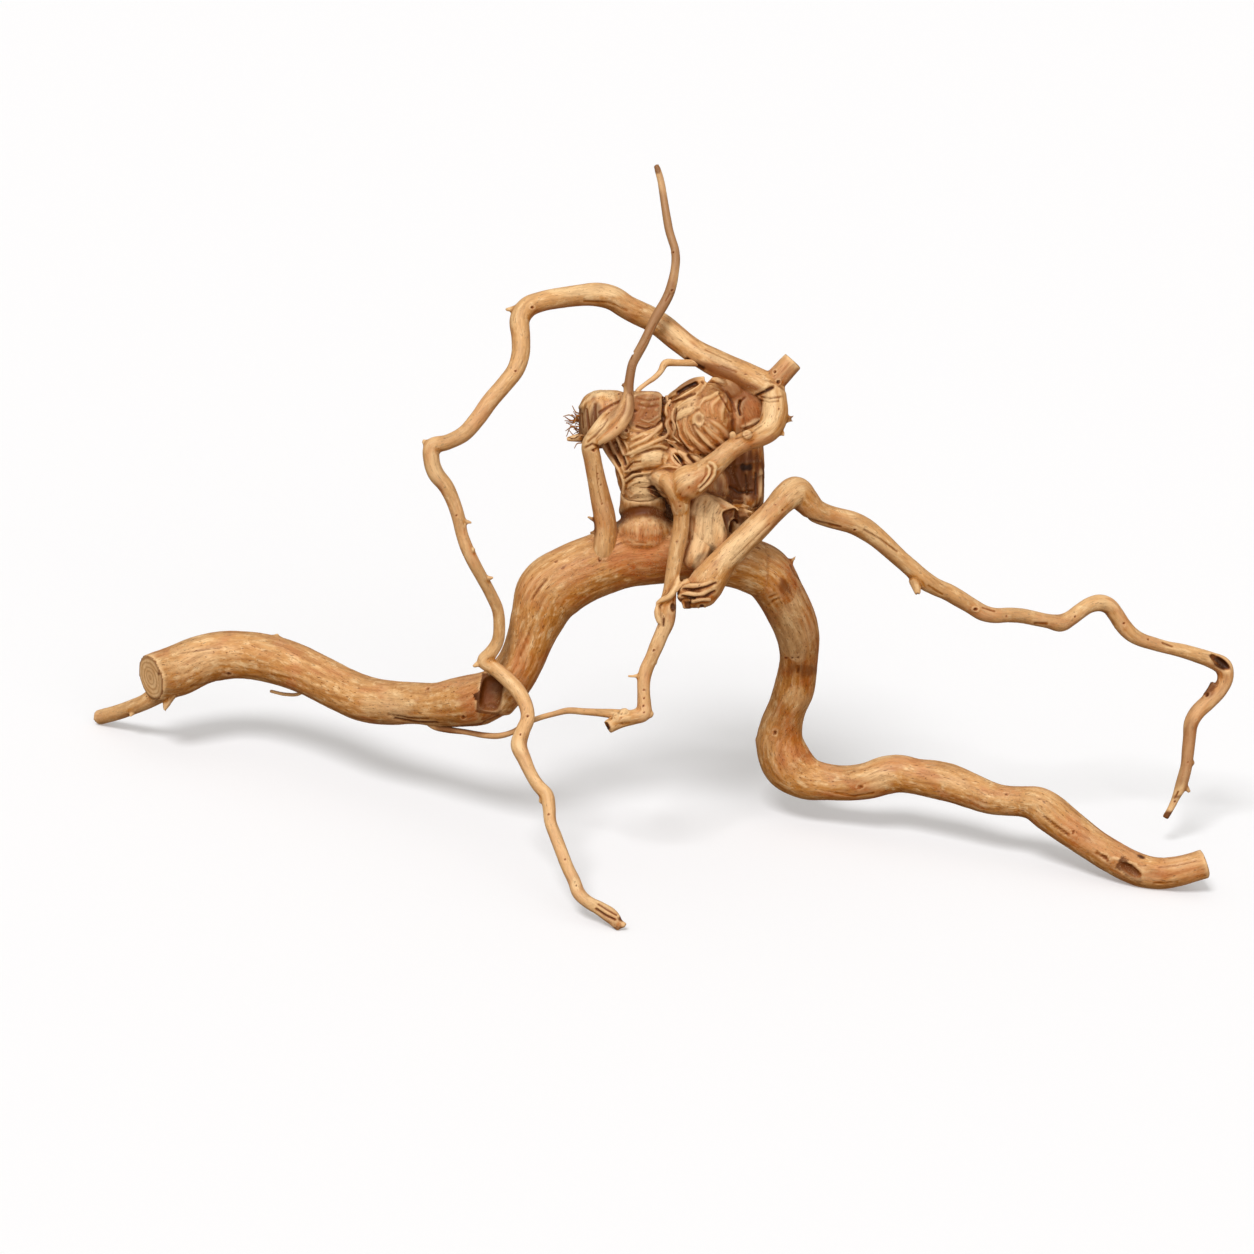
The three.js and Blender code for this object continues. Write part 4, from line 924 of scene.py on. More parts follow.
# %% [markdown]
# ## Relief in the grain
# Under a lamp this wood shows three sizes of relief: slow swellings, furrows about 2 mm apart, and
# fine fibre. Where a root healed over, it also lies in round folds with sharp creases. A second node
# tree pushes the skin along its normals by noise that is stretched along the grain. It works on
# faces, so the relief is there in any light and in the mesh itself.

# %% The relief tree
relief_tree, given = geometry_tree("grain relief", Swell=0.9, Furrow=0.55, Fibre=0.2, Fold=0.9, Wood=None)


def stretched(tree, scale, detail, rough=0.55):
    """Noise in the log's own space, from about -0.5 to 0.5."""
    log = named(tree, "grain", "FLOAT_VECTOR")
    place = wire(tree, "ShaderNodeVectorMath", {"operation": "MULTIPLY"}, i0=log, i1=scale)
    noise = wire(tree, "ShaderNodeTexNoise", Vector=place.outputs[0], Scale=1.0, Detail=detail,
                 Roughness=rough)
    return wire(tree, "ShaderNodeMath", {"operation": "SUBTRACT"}, i0=noise.outputs[0], i1=0.5).outputs[0]


def math_of(tree, operation, a, b=0.0):
    return wire(tree, "ShaderNodeMath", {"operation": operation}, i0=a, i1=b).outputs[0]


def puffed(tree, scale, width):
    """Round ridges from -0.6 to 0.4, with a sharp crease between them where the noise crosses zero."""
    away = math_of(tree, "ABSOLUTE", stretched(tree, scale, 1.5))
    away = math_of(tree, "MINIMUM", math_of(tree, "MULTIPLY", away, 1 / width), 1.0)
    return math_of(tree, "SUBTRACT", math_of(tree, "POWER", away, 0.7), 0.6)


swell_noise = stretched(relief_tree, (0.085, 0.085, 0.03), 2.0)
swell = math_of(relief_tree, "MULTIPLY", swell_noise, given.outputs["Swell"])
furrow_noise = stretched(relief_tree, (0.42, 0.42, 0.055), 3.0)
furrow = math_of(relief_tree, "MULTIPLY", furrow_noise, given.outputs["Furrow"])
fibre_noise = stretched(relief_tree, (1.3, 1.3, 0.16), 2.0)
fibre = math_of(relief_tree, "MULTIPLY", fibre_noise, given.outputs["Fibre"])
height = math_of(relief_tree, "ADD", math_of(relief_tree, "ADD", swell, furrow), fibre)
height = math_of(relief_tree, "MULTIPLY", height, named(relief_tree, "girth"))
wide_folds = puffed(relief_tree, (0.17, 0.17, 0.035), 0.20)
small_folds = math_of(relief_tree, "MULTIPLY", puffed(relief_tree, (0.5, 0.5, 0.09), 0.18), 0.4)
folds = math_of(relief_tree, "ADD", wide_folds, small_folds)
folds = math_of(relief_tree, "MULTIPLY", folds, given.outputs["Fold"])
folds = math_of(relief_tree, "MULTIPLY", folds, named(relief_tree, "fold"))
height = math_of(relief_tree, "MULTIPLY", math_of(relief_tree, "ADD", height, folds), 0.001)
lift = wire(relief_tree, "ShaderNodeVectorMath", {"operation": "SCALE"},
            Vector=relief_tree.nodes.new("GeometryNodeInputNormal").outputs[0], Scale=height)
moved = wire(relief_tree, "GeometryNodeSetPosition", Geometry=given.outputs[0], Offset=lift.outputs[0])
kept = wire(relief_tree, "GeometryNodeStoreNamedAttribute", {"data_type": "FLOAT", "domain": "POINT"},
            Geometry=moved.outputs[0], Name="furrow", Value=furrow_noise)
smooth = wire(relief_tree, "GeometryNodeSetShadeSmooth", Geometry=kept.outputs[0], Shade_Smooth=True)
close_tree(relief_tree, smooth.outputs[0], given.outputs["Wood"])
print(relief_tree.name, "has", len(relief_tree.nodes), "nodes")

# %% Cavities, and the finished piece
PAINTED_LIGHT_FROM = unit([-0.3, -0.45, 0.84])             # the lit side, painted paler; the opposite side is painted darker


def averaged(values, pairs, count, rounds):
    """Each row becomes the mean of its neighbours along the edges, some rounds long."""
    first, second = pairs.T
    for _ in range(rounds):
        total = [
            np.bincount(first, v[second], len(v)) + np.bincount(second, v[first], len(v))
            for v in values.T
        ]
        values = np.stack(total, 1) / count[:, None]
    return values


def with_relief(name, skin, furrow, swell, fibre, fold=0.9):
    """Adds the relief, measures how hollow each point lies, and makes the finished piece."""
    piece = shown(name + "_raw", skin.done())
    use_tree(piece, relief_tree, Swell=swell, Furrow=furrow, Fibre=fibre, Fold=fold, Wood=wood)
    mesh = baked(piece)
    co = read(mesh.vertices, "co")
    co[:, 2] = np.maximum(co[:, 2], 0)          # the feet are worn flat on the floor
    mesh.vertices.foreach_set("co", co.astype(np.float32).ravel())
    mesh.update()
    normal = read(mesh.vertex_normals, "vector")
    pairs = np.zeros(len(mesh.edges) * 2, np.int32)
    mesh.edges.foreach_get("vertices", pairs)
    pairs = pairs.reshape(-1, 2)
    count = np.bincount(pairs.ravel(), minlength=len(co)).astype(float)
    edge = np.linalg.norm(co[pairs[:4000, 0]] - co[pairs[:4000, 1]], axis=1).mean() * 1000
    steps = int(np.clip(round(1.6 / edge**2), 3, 12))
    near = averaged(co, pairs, count, steps)
    far = averaged(near, pairs, count, 6 * steps)
    # Crease and hollow feed the painted shade in creases and hollows and the painted highlight on ridges.
    put(mesh, "crease", ((near - co) * normal).sum(1) * 1000)
    put(mesh, "hollow", ((far - co) * normal).sum(1) * 1000)
    # Painted light and shade: how much each point faces the lit side. The material paints that side paler and
    # the underside darker.
    put(mesh, "painted_light_facing", averaged(normal, pairs, count, 4) @ PAINTED_LIGHT_FROM)
    mesh.name = name
    return mount(name, mesh)


def mount(name, mesh):
    """The finished piece: on the body, in place of the solid, in the wood's finish."""
    piece = shown(name, mesh)
    if not mesh.materials:
        mesh.materials.append(wood)
    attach(piece, "root")
    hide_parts("driftwood")
    triangles = sum(len(p.vertices) - 2 for p in mesh.polygons)
    print(f"{name}: {triangles} triangles")
    return piece

# %% [markdown]
# ## Log, trunk and right leg
# The thick wood is one limb that a growing root thickened: from the sawn log on the left, up the arch
# and down the right leg to the second sawn end. It gets rot holes and knots, and what reaches below
# the floor is worn flat.

# %% Dress the thick wood
log, stub, trunk, leg, neck = (Limb(r) for r in (LOG, LEFT_STUB, TRUNK, RIGHT_LEG, SAWN_NECK))
collar = Limb([[-9.5, 25, 29, 8.6], [-9.4, 29, 32, 7.4], [-9.3, 32.6, 35, 5.6]])
shoulder = dict(at=[6.5, 36.4, 29], half=[12.6, 6.2, 13.2], square=0.9, grain=(1, 0.1, 0))
thick_limbs = [log, stub, trunk, leg, neck, collar] + [spur(*s) for s in THICK_SPURS]
notches = [
    dict(at=[-57.4, -28.2, 30], half=[4.6, 7.4, 7.4], turn=-10, square=0.4),    # log to trunk
    dict(at=[-62.2, -28.8, 32], half=[2.0, 1.3, 5], turn=20, square=0.6),
    dict(at=[212.6, -102.6, 2.4], half=[6.2, 2.4, 5], turn=-36, square=0.8),    # above the right foot
    dict(at=[216.4, -97.0, 3.4], half=[2.3, 1.2, 3.4], turn=-26),
]
thick_skin = grown("thick_wood", thick_limbs, [shoulder], voxel=0.77, smooth=3, hollows=notches)
thick_skin.sawn(log, True, 2.0)
thick_skin.sawn(stub, True)
thick_skin.sawn(leg, True, 1.6)

# %% Pits of the thick wood
thick_skin.pits([
    (-197.7, -19.8, 0.9, 0.9, 0, 0.6, 0), (-168, -19.8, 1.1, 0.8, 0, 0.5, 0.2),
    (98.5, -67.3, 1.5, 0.9, 10, 0.4, 0.1), (67, -13, 0.6, 0.6, 0, 0.4, 0), (69.5, -13, 0.6, 0.6, 0, 0.4, 0),
    (72, -13, 0.6, 0.6, 0, 0.4, 0), (72, -11, 0.5, 0.5, 0, 0.4, 0), (3, 39.3, 0.4, 0.4, 0, 0.3, 0),
    (8, 37.7, 0.4, 0.4, 0, 0.3, 0), (-11.5, 28.5, 0.9, 1.1, 0, 1.0, 0),
    (188.2, -86.4, 1.1, 0.7, -40, 0.5, 0.1), (201.4, -96.8, 2.2, 0.8, -30, 0.6, 0.2),
    (-30, 27.6, 0.9, 0.5, 20, 0.4, 0.1), (-27, 25, 0.8, 0.5, 20, 0.4, 0.1),
    (-84, -26, 0.8, 0.6, 0, 0.4, 0.1), (62.4, -44.5, 0.9, 1.2, 0, 0.5, 0.2),
    (160, -70.5, 1.0, 0.6, -20, 0.4, 0.1), (-69, -38, 1.0, 0.9, 0, 0.4, 0.1),
], dark=0.6)

# %% Cracks and ridges of the thick wood
thick_skin.strokes([
    ([(-98, -38.6), (-88, -40.2), (-80, -40.4)], 0.4, 0.7, 0.6),
    ([(-101, -36.8), (-92, -38.4), (-84, -38.8)], 0.35, 0.4, 0.4),
    ([(72, -16.6), (72, -19)], 0.45, 0.5, 0.7), ([(176, -80), (181, -84), (186, -87.6)], 0.45, 0.5, 0.5),
    ([(198, -95), (203, -98.4)], 0.45, 0.5, 0.5),
    ([(-150, -20), (-142, -21.4), (-137, -23)], 0.3, 0.3, 0.3),
    ([(-184, -25), (-176, -23.4), (-169, -23)], 0.35, 0.3, 0.3),
    ([(-188, -11), (-179, -9.6), (-171, -8.8)], 0.3, 0.25, 0.3),
    ([(-54, -37.4), (-62, -41), (-70, -42)], 0.4, 0.4, 0.4),
    ([(-40, 12), (-37, 16.6), (-34, 20)], 0.4, 0.4, 0.5),
    ([(-45, -12), (-42.6, -5), (-40, 1)], 0.35, 0.3, 0.3),
    ([(60, 9.4), (62, 11.4), (64.6, 12.2)], 0.35, 0.35, 0.0), ([(60, 12.6), (62.6, 13.6)], 0.35, 0.35, 0.0),
    ([(224, -101.4), (232, -100.6), (240, -98.6)], 0.3, 0.25, 0.3),
    ([(222, -108), (232, -107.6)], 0.3, 0.3, 0.4), ([(74, 19), (71, 22), (69, 26)], 0.4, 0.3, 0.35),
    ([(88, -70), (96, -71.4), (104, -70)], 0.35, 0.3, 0.25),
    ([(205, -97.4), (210, -98.6), (214.6, -100)], 0.5, -0.5, 0.0),
    ([(-6, 34), (0, 36), (8, 35.6)], 0.3, 0.2, 0.15),
])
# The saw band is a kerf under the overhanging neck: its grey is grey-brown sawn wood, and its dark lines are
# painted shade.
BAND = [(-3.2, 46), (-0.6, 47.6), (3, 48.7), (6.6, 49), (10.4, 48.6), (14.4, 47.2), (17.6, 45.4)]
thick_skin.stroke(BAND, 2.3, 0.4, 1.0, "grey")
thick_skin.stroke(BAND, 2.1, 0.0, 0.64)
thick_skin.stroke([(-2, 47.8), (1.6, 49.6), (6, 50.4), (10.4, 50), (14.4, 48.6)], 0.5, 0.5, 0.5)
thick_skin.girth *= 1 - 0.9 * thick_skin.tone["grey"]
thick_skin.girth[thick_skin.owner == len(thick_limbs)] *= 0.35

# %% Stains of the thick wood, and painted light on the right leg
thick_skin.tints([
    ("orange", -144, -8, 9, 3.2, -25, 0.9), ("orange", -142, -18, 5, 3, 0, 0.8),
    ("orange", 70, 22, 3.4, 10, 18, 0.95), ("orange", 76, 5, 4, 9, 0, 0.5),
    ("dark", 74.5, -18, 6, 3.2, 0, 0.4), ("orange", 74, -17, 7, 7, 0, 0.7),
    ("orange", 98, -67, 7, 3.4, 0, 1.0), ("orange", 4, 28, 18, 9, 0, 1.0),
    ("orange", -24, 22, 12, 6, 25, 0.6), ("orange", 66, -50, 7, 14, 0, 0.6),
    ("pale", 72, -30, 6, 5, 0, 0.4), ("pale", 106, -64, 8, 4, 0, 0.6), ("pale", -100, -33, 14, 7, 0, 0.5),
    ("pale", -180, -14, 16, 8, 0, 0.5), ("orange", 127, -62.6, 7, 4, -8, 0.8),
    ("orange", 208, -97, 16, 9, -30, 0.8), ("orange", -64, -30, 11, 9, 0, 1.0),
    ("orange", 236, -104, 10, 5, 0, 0.7), ("dark", 66, 17.6, 3.0, 4.4, 20, 0.5),
    ("orange", 66, 16, 7, 9, 20, 0.7), ("orange", 92, -71, 8, 3, 0, 0.6),
    ("orange", -46, -26, 6, 10, 0, 0.5), ("orange", -40, 14, 6, 9, 30, 0.6),
    ("orange", 190, -88, 12, 5, -38, 0.7), ("orange", 5, 34, 14, 9, 0, 1.0),
    ("orange", 4, 38, 10, 3.4, 0, 0.7), ("orange", 12, 27, 10, 8, 0, 1.0),
    # Painted light: the pale patch (69, -4) lifts the right leg where the right limb's shadow falls.
    ("dark", 217, -97, 1.9, 1.1, -26, 0.9), ("pale", 69, -4, 9, 22, 0, 0.55),
    ("orange", 230, -102, 20, 8, 10, 0.6),
])

# %% Painted shade on the floors of the hollows
# Middle, half sizes, turn, tone and the depth at which the hollow's mouth lies.
FLOORS = [
    ((-57.4, -28.4), (5.2, 8.4), -10, 0.62, 29.5), ((-62.4, -28.8), (2.2, 1.6), 20, 0.9, 29.5),
    ((212.6, -102.6), (6.6, 2.9), -36, 0.6, -0.6),
]
for at, half, turn, share, mouth in FLOORS:
    c, s = math.cos(math.radians(turn)), math.sin(math.radians(turn))
    x, y = thick_skin.sheet[:, 0] - at[0], thick_skin.sheet[:, 1] - at[1]
    p, q = (x * c + y * s) / half[0], (y * c - x * s) / half[1]
    deep = (thick_skin.sheet[:, 2] < mouth) & (thick_skin.sheet[:, 2] > mouth - 16)
    # Painted shade: the floor of each hollow is painted dark, darker on one side.
    thick_skin.paint("dark", share * (np.maximum(abs(p), abs(q)) < 1) * deep * (0.75 - 0.25 * p))
with_relief("thick_wood", thick_skin, furrow=0.5, swell=1.0, fibre=0.22)

# %% [markdown]
# ## The root crown
# Here the root once sat in the soil, and its small roots wrapped themselves round it. Lobes carry it,
# each with its own grain, in three pieces: the crown with the neck's top, the burl with the web, and
# the stump with the pale bulge. Thin roots are draped over the lobes, and others climb the back.

# %% Crown: lobes and draped roots
def drape(skin, points, rise):
    """A root laid on a skin, its middle rise radii above it, from rows of across, up and radius."""
    rows = []
    for a, u, r in points:
        d = skin.depth(a, u)
        rows.append([a, u, (rows[-1][2] if rows else 44.0) if d is None else d + rise * r, r])
    return Limb(rows, 0.5)


neck_top = Limb(NECK_TOP)
left_slope = Limb([[-7, 79.5, 42, 4], [-1.6, 70.8, 41, 4.4], [3, 64.4, 38.4, 5.2], [5, 58, 35.6, 6]])
bare = [left_lobe, block, core, over_neck, burl, web, under_hoop]
form = Skin(one_skin("crown_form", [neck_top, left_slope], bare, voxel=0.9, smooth=2), [], bare)


def laid(roots, rise=ROOT_RISE):
    return [drape(form, root, rise) for root in roots]


neck_roots = laid(UNDER_THE_BLOCK) + laid([SATIN_SWELLING], RIDGE_RISE)
neck_roots += laid(ARCS_ROUND_THE_NECK + BESIDE_THE_BLOCK)
burl_roots = laid(ABOVE_THE_BURL) + laid(ROUND_THE_BURL, RIDGE_RISE) + laid(OVER_THE_GAPS, GAP_ROOT_RISE)
bpy.data.meshes.remove(form.mesh)
print(len(neck_roots), "roots on the neck,", len(burl_roots), "on the burl")

# %% Roots up the crown's back
# They tie the trunk, the lobes and the stump together.
BACK_ROOTS = [
    [
        [2, 36, 21, 5], [4, 48, 23.6, 5.2], [8, 60, 25.6, 5.2], [14, 72, 26, 5], [20, 84, 28.6, 4.6],
        [26, 93, 32.6, 3],
    ],
    [
        [5, 40, 21, 4], [3.4, 52, 25, 4.4], [3, 62, 27, 4.4], [-0.6, 72, 29.2, 4.2], [-5, 82, 30.2, 4],
        [-8, 92, 32.6, 2.8],
    ],
    [
        [30, 38, 20, 5], [31, 50, 22, 5.2], [30, 62, 24.2, 5.2], [28, 74, 26, 4.8], [33, 85, 29, 4.4],
        [40, 95, 30.6, 3],
    ],
    [[47, 70, 20.6, 3.4], [42, 82, 24.6, 4.6], [35, 87, 28.8, 4.2], [26, 89, 32, 3]],
    [
        [20, 40, 21, 3.8], [17, 50, 23, 4], [19, 60, 24.6, 3.8], [24, 68, 24.6, 3.4], [32, 72, 23, 3],
        [42, 73, 20.6, 2],
    ],
    [[12, 66, 24, 2.6], [6, 76, 26.4, 3], [-2, 83, 28.6, 2.8], [-10, 86, 30, 2]],
]

# %% Crown: the left lobe, the block and the neck
crown_lobes = [left_lobe, block, core, over_neck, knurl, backing, nape]
saddle_root = Limb([
    [4, 69, 40, 3.6], [8.6, 66.8, 42.8, 4.2], [12.6, 64.2, 44.6, 4.2],
    [16.6, 61.6, 46.8, 4.1], [19.6, 58, 47, 3.8],
])
back_roots = [Limb(root) for root in BACK_ROOTS]
crown_limbs = [neck_top, left_slope, saddle_root] + neck_roots + [spur(*BARK_POINT)] + back_roots
crown_skin = grown("crown", crown_limbs, crown_lobes, voxel=0.42, smooth=2)
first = len(crown_limbs)
for k in (0, 1):                                 # the neck's top and the slope to the left lobe
    mine = crown_skin.owner == k
    crown_skin.grain[mine] = swirled(crown_skin.co[mine], [7, 60, 36], (7, 36))
crown_skin.fold[crown_skin.owner == 0], crown_skin.fold[crown_skin.owner == 1] = 0.2, 0.3
crown_skin.fold[(crown_skin.owner >= first - len(back_roots)) & (crown_skin.owner < first)] = 0.6
LOBE_FOLDS = (0.22, 0.22, 0.45, 0.3, 0.6, 0.0, 0.5)
for k, share in enumerate(LOBE_FOLDS, first):
    crown_skin.fold[crown_skin.owner == k] = share

# %% Cracks and ridges of the lobe, the block and the neck
crown_skin.strokes([
    ([(15.3, 99), (15.6, 95), (15.2, 90), (15.6, 86), (16.2, 82)], 0.45, 1.0, 0.85),
    ([(4, 84.6), (8, 83.4), (12, 84.8), (14.6, 87)], 0.4, 0.7, 0.6),
    ([(-0.4, 66.6), (2.4, 69.4), (5.6, 69.8)], 0.4, 0.6, 0.55),
    ([(-0.8, 62.8), (2.2, 65.2), (5.6, 65.4)], 0.35, 0.5, 0.5),
    ([(-0.2, 60.4), (3, 63), (6.4, 63.6)], 0.3, 0.35, 0.35),
    ([(5.4, 58.6), (9, 58.6), (12, 57)], 0.3, 0.25, 0.3),
    ([(10.6, 58.2), (13, 54.6), (15.6, 50.8)], 1.3, 1.6, 1.0), ([(-5.2, 72), (-3.2, 68)], 0.5, 1.0, 0.8),
    ([(-1.6, 71.6), (-0.8, 68.6)], 0.45, 1.0, 0.9), ([(26, 72.4), (28.6, 69.6)], 0.7, 1.2, 0.9),
    ([(-11.4, 90.5), (-7, 93.4), (-2.5, 95.5)], 0.5, 0.5, 0.4),
    ([(-19.6, 92.6), (-17.2, 95.2), (-14.4, 97.6), (-10, 98.6)], 0.7, -0.6, 0.0),
    ([(-17, 92), (-16.4, 86), (-15.6, 81)], 0.35, 0.5, 0.45),
    ([(-13.6, 94), (-13.4, 89), (-13.2, 86)], 0.35, 0.5, 0.4), ([(-19, 90), (-18.4, 84)], 0.3, 0.4, 0.35),
    ([(2.4, 97.2), (6, 98.4), (11, 98.6), (14.6, 97.4)], 0.5, -0.35, 0.0),
    ([(4.6, 96.4), (9, 95.4), (13.6, 96.2)], 0.35, 0.35, 0.35),
    ([(5, 93.6), (9, 92.6), (13.4, 93.4)], 0.35, 0.3, 0.3),
    ([(6, 87.6), (9, 86.4), (13, 88.6)], 0.4, -0.35, 0.0),
])

# %% Pits of the lobe, the block and the neck
crown_skin.pits([
    (22, 71, 3.6, 1.9, -48, 2.4, 0.2, 1.0), (24.6, 67.6, 2.4, 1.4, -40, 1.8, 0, 1.0),
    (19, 76.4, 1.4, 0.8, -40, 1.2, 0, 0.9), (-8, 89, 2.0, 1.2, 30, 1.6, 0.1, 0.95),
    (3.5, 91.1, 1.3, 0.8, 0, 0.5, 0, 0.7), (8.1, 90.2, 0.6, 0.5, 0, 0.4, 0, 0.6),
    (11, 88.7, 0.6, 0.5, 0, 0.4, 0.1, 0.3), (10.4, 94, 0.9, 0.7, 0, -0.4, 0, 0),
    (6.4, 94.6, 1.0, 0.7, 0, -0.4, 0, 0), (12.4, 91.6, 0.9, 0.8, 0, -0.4, 0, 0),
    (7.4, 92.6, 0.8, 0.7, 0, -0.3, 0, 0), (-0.4, 82.8, 0.9, 0.8, 0, 0.5, 0.4, 0.5),
    (-1.4, 98.2, 0.5, 0.4, 0, 0.4, 0, 0.8), (-3.4, 98.4, 0.5, 0.4, 0, 0.4, 0, 0.8),
    (18.4, 93.4, 0.7, 0.7, 0, 0.5, 0.2, 0.8), (5.2, 61, 0.5, 0.5, 0, 0.4, 0, 0.7),
    (1.2, 66.4, 0.5, 0.5, 0, 0.4, 0, 0.8), (5.6, 57, 0.4, 0.5, 0, 0.3, 0, 0.5),
])

# %% Stains, painted highlights and painted shade of the lobe, the block and the neck
crown_skin.tints([
    ("grey", -15.8, 87.6, 6, 8.6, 0, 1.0), ("dark", -15, 86, 6.6, 9, 0, 0.32),
    # Painted highlight: the pale patch at the top of the left lobe (-10.5, 98.6).
    ("pale", -10.5, 98.6, 7, 2.2, -8, 1.0), ("orange", -7, 93, 6, 4, 20, 0.9),
    ("orange", 8, 90, 9, 11, 0, 1.0), ("dark", 8.6, 92, 9, 9, 0, 0.3), ("dark", 4, 86.6, 4, 2.4, 30, 0.25),
    # Painted highlight: the pale spots on the block (-0.3, 87.3) and on the satin swelling (12, 72.4). The
    # pale patches on the neck (8, 60) and (8, 54) are pale wood, painted lighter still where the overhang
    # shades it.
    ("pale", -0.3, 87.3, 2, 1.2, 20, 1.0), ("pale", 12, 72.4, 6, 3, 8, 1.0), ("pale", 8, 60, 9, 6, 0, 1.0),
    ("pale", 8, 54, 9, 4, 0, 1.0), ("orange", 2, 55, 4, 4, 0, 0.4), ("orange", -6, 74, 5, 7, 50, 0.7),
    # Painted shade: the dark patch (16, 52) fills the gap between the neck and the pale bulge.
    ("dark", -7, 75, 3.6, 7, 50, 0.34), ("dark", 16, 52, 2, 6, 30, 0.9), ("dark", 18, 84, 3, 10, 0, 0.2),
    ("orange", 18, 88, 4, 12, 0, 0.6),
])
# Painted shade: the front of the backing lobe, the floor of the gap beside the block, is painted dark.
painted_shade_floor = (crown_skin.owner == first + crown_lobes.index(backing)) & (crown_skin.facing > 0)
crown_skin.paint("dark", 0.8 * painted_shade_floor)
with_relief("crown", crown_skin, furrow=0.3, swell=0.5, fibre=0.12, fold=1.0)

# %% Crown: the burl and the web under the hoop
burl_lobes = [burl, web, under_hoop, web_root]
burl_skin = grown("burl", burl_roots, burl_lobes, voxel=0.4, smooth=7)
first = len(burl_roots)
eye_gap = np.hypot(burl_skin.sheet[:, 0] - 44, burl_skin.sheet[:, 1] - 90)
burl_skin.fold = np.where(burl_skin.owner > first, 0.3, 0.5) * smooth_step(eye_gap, 5, 14)

# %% Cracks and ridges of the burl
burl_skin.strokes([
    ([(20.4, 92), (19.9, 86), (21.4, 80), (25.6, 74)], 0.5, 0.6, 0.5),
    ([(26.8, 86.6), (28.2, 82.2), (31.2, 78.2), (35.2, 75)], 0.6, 0.3, 0.2),
    ([(21.4, 98.6), (25.2, 100.8), (29, 102.8)], 0.6, 1.1, 1.0),
    ([(19, 94.6), (24, 96.6), (28.6, 98.6)], 0.4, 0.5, 0.5),
    ([(47.6, 95.4), (47.2, 92.4), (48, 89.6)], 0.5, 1.2, 0.95),
    ([(47.4, 94.6), (49.6, 96.8)], 0.35, 0.6, 0.7),
    ([(39, 98.6), (41.4, 94.6), (43.6, 90.6)], 0.45, 0.5, 0.4),
    ([(42, 99), (44.4, 95), (45.8, 91)], 0.4, 0.5, 0.4),
    ([(49, 84.6), (53, 86), (56.6, 88)], 0.7, -0.5, 0.0),
    ([(44.8, 87), (45, 82), (45.4, 79)], 0.7, 0.4, 0.35),
])
burl_skin.pit(30.3, 87.6, 1.7, 2.1, 15, 0.4, 0.3, 0.12)

# %% Stains, a painted highlight and painted shade of the burl
burl_skin.tints([
    ("orange", 32, 86, 14, 16, 0, 0.7), ("orange", 50, 92, 12, 14, 0, 1.0),
    ("dark", 24, 102, 8, 2.2, 26, 0.45), ("dark", 34, 99, 5, 3, 20, 0.2), ("dark", 45.6, 82, 3, 5, 0, 0.3),
    # Painted highlight: the pale patch (25, 92) on the burl's upper left.
    ("pale", 25, 92, 6, 4.4, 30, 0.7), ("pale", 30.3, 87.6, 3.4, 3.6, 0, 0.5),
    ("dark", 50, 92, 9, 12, 0, 0.24), ("dark", 47.6, 92.6, 2.6, 5, 0, 0.35),
    # Painted shade: the dark band (45, 99.4) lies in the shade under the hoop.
    ("dark", 45, 99.4, 13, 4.6, -27, 0.42), ("pale", 33, 79, 6, 1.6, -46, 0.6),
    ("pale", 35, 85, 5, 1.4, -40, 0.5), ("pale", 53, 86.2, 4.6, 1.4, 20, 0.8),
    ("pale", 38.6, 103.6, 3.4, 1.6, -14, 1.0), ("dark", 22, 76, 5, 3, -40, 0.3),
])
with_relief("burl", burl_skin, furrow=0.25, swell=0.5, fibre=0.1, fold=1.0)

# %% Crown: the back stump and the pale bulge
SPLINTERS = [
    [[38, 52.6, 40], [47.2, 49.2, 44], 2.6, 0.6], [[45, 53, 38], [49.6, 52.8, 43], 1.2, 0.4],
    [[46, 51.6, 38], [51.8, 50.8, 43.4], 1.3, 0.4], [[47, 49.6, 38], [53.2, 48.4, 43], 1.3, 0.4],
    [[47.6, 47.4, 37], [52, 46.2, 42], 1.1, 0.4], [[43, 45.6, 36], [50.6, 47.6, 41.6], 1.5, 0.5],
    [[39, 51, 40], [43.8, 45.4, 43], 1.4, 0.5],
]
stump_limbs = [Limb(BACK_STUMP)] + [spur(*s) for s in SPLINTERS]
stump_lobes = [stump, bulge, behind, wedge, under_saddle, toe]
facets = [
    dict(at=[45.6, 42, 40], half=[3.2, 2.2, 3], turn=40),        # gap beside the pale bulge
    dict(at=[45.6, 41, 42.4], half=[3.4, 9, 6], turn=18, square=0.3),
    dict(at=[35.6, 25.6, 44], half=[10, 3.2, 6], turn=42, square=0.3),
]
stump_skin = grown("stump_and_bulge", stump_limbs, stump_lobes, voxel=0.45, smooth=2, hollows=facets)
first = len(stump_limbs)
stump_skin.fold[np.isin(stump_skin.owner, [0, first, first + 2])] = 0.5            # the stump's wood
stump_skin.fold[np.isin(stump_skin.owner, [first + 1, first + 3, first + 5])] = 0.1     # the bulge's wood

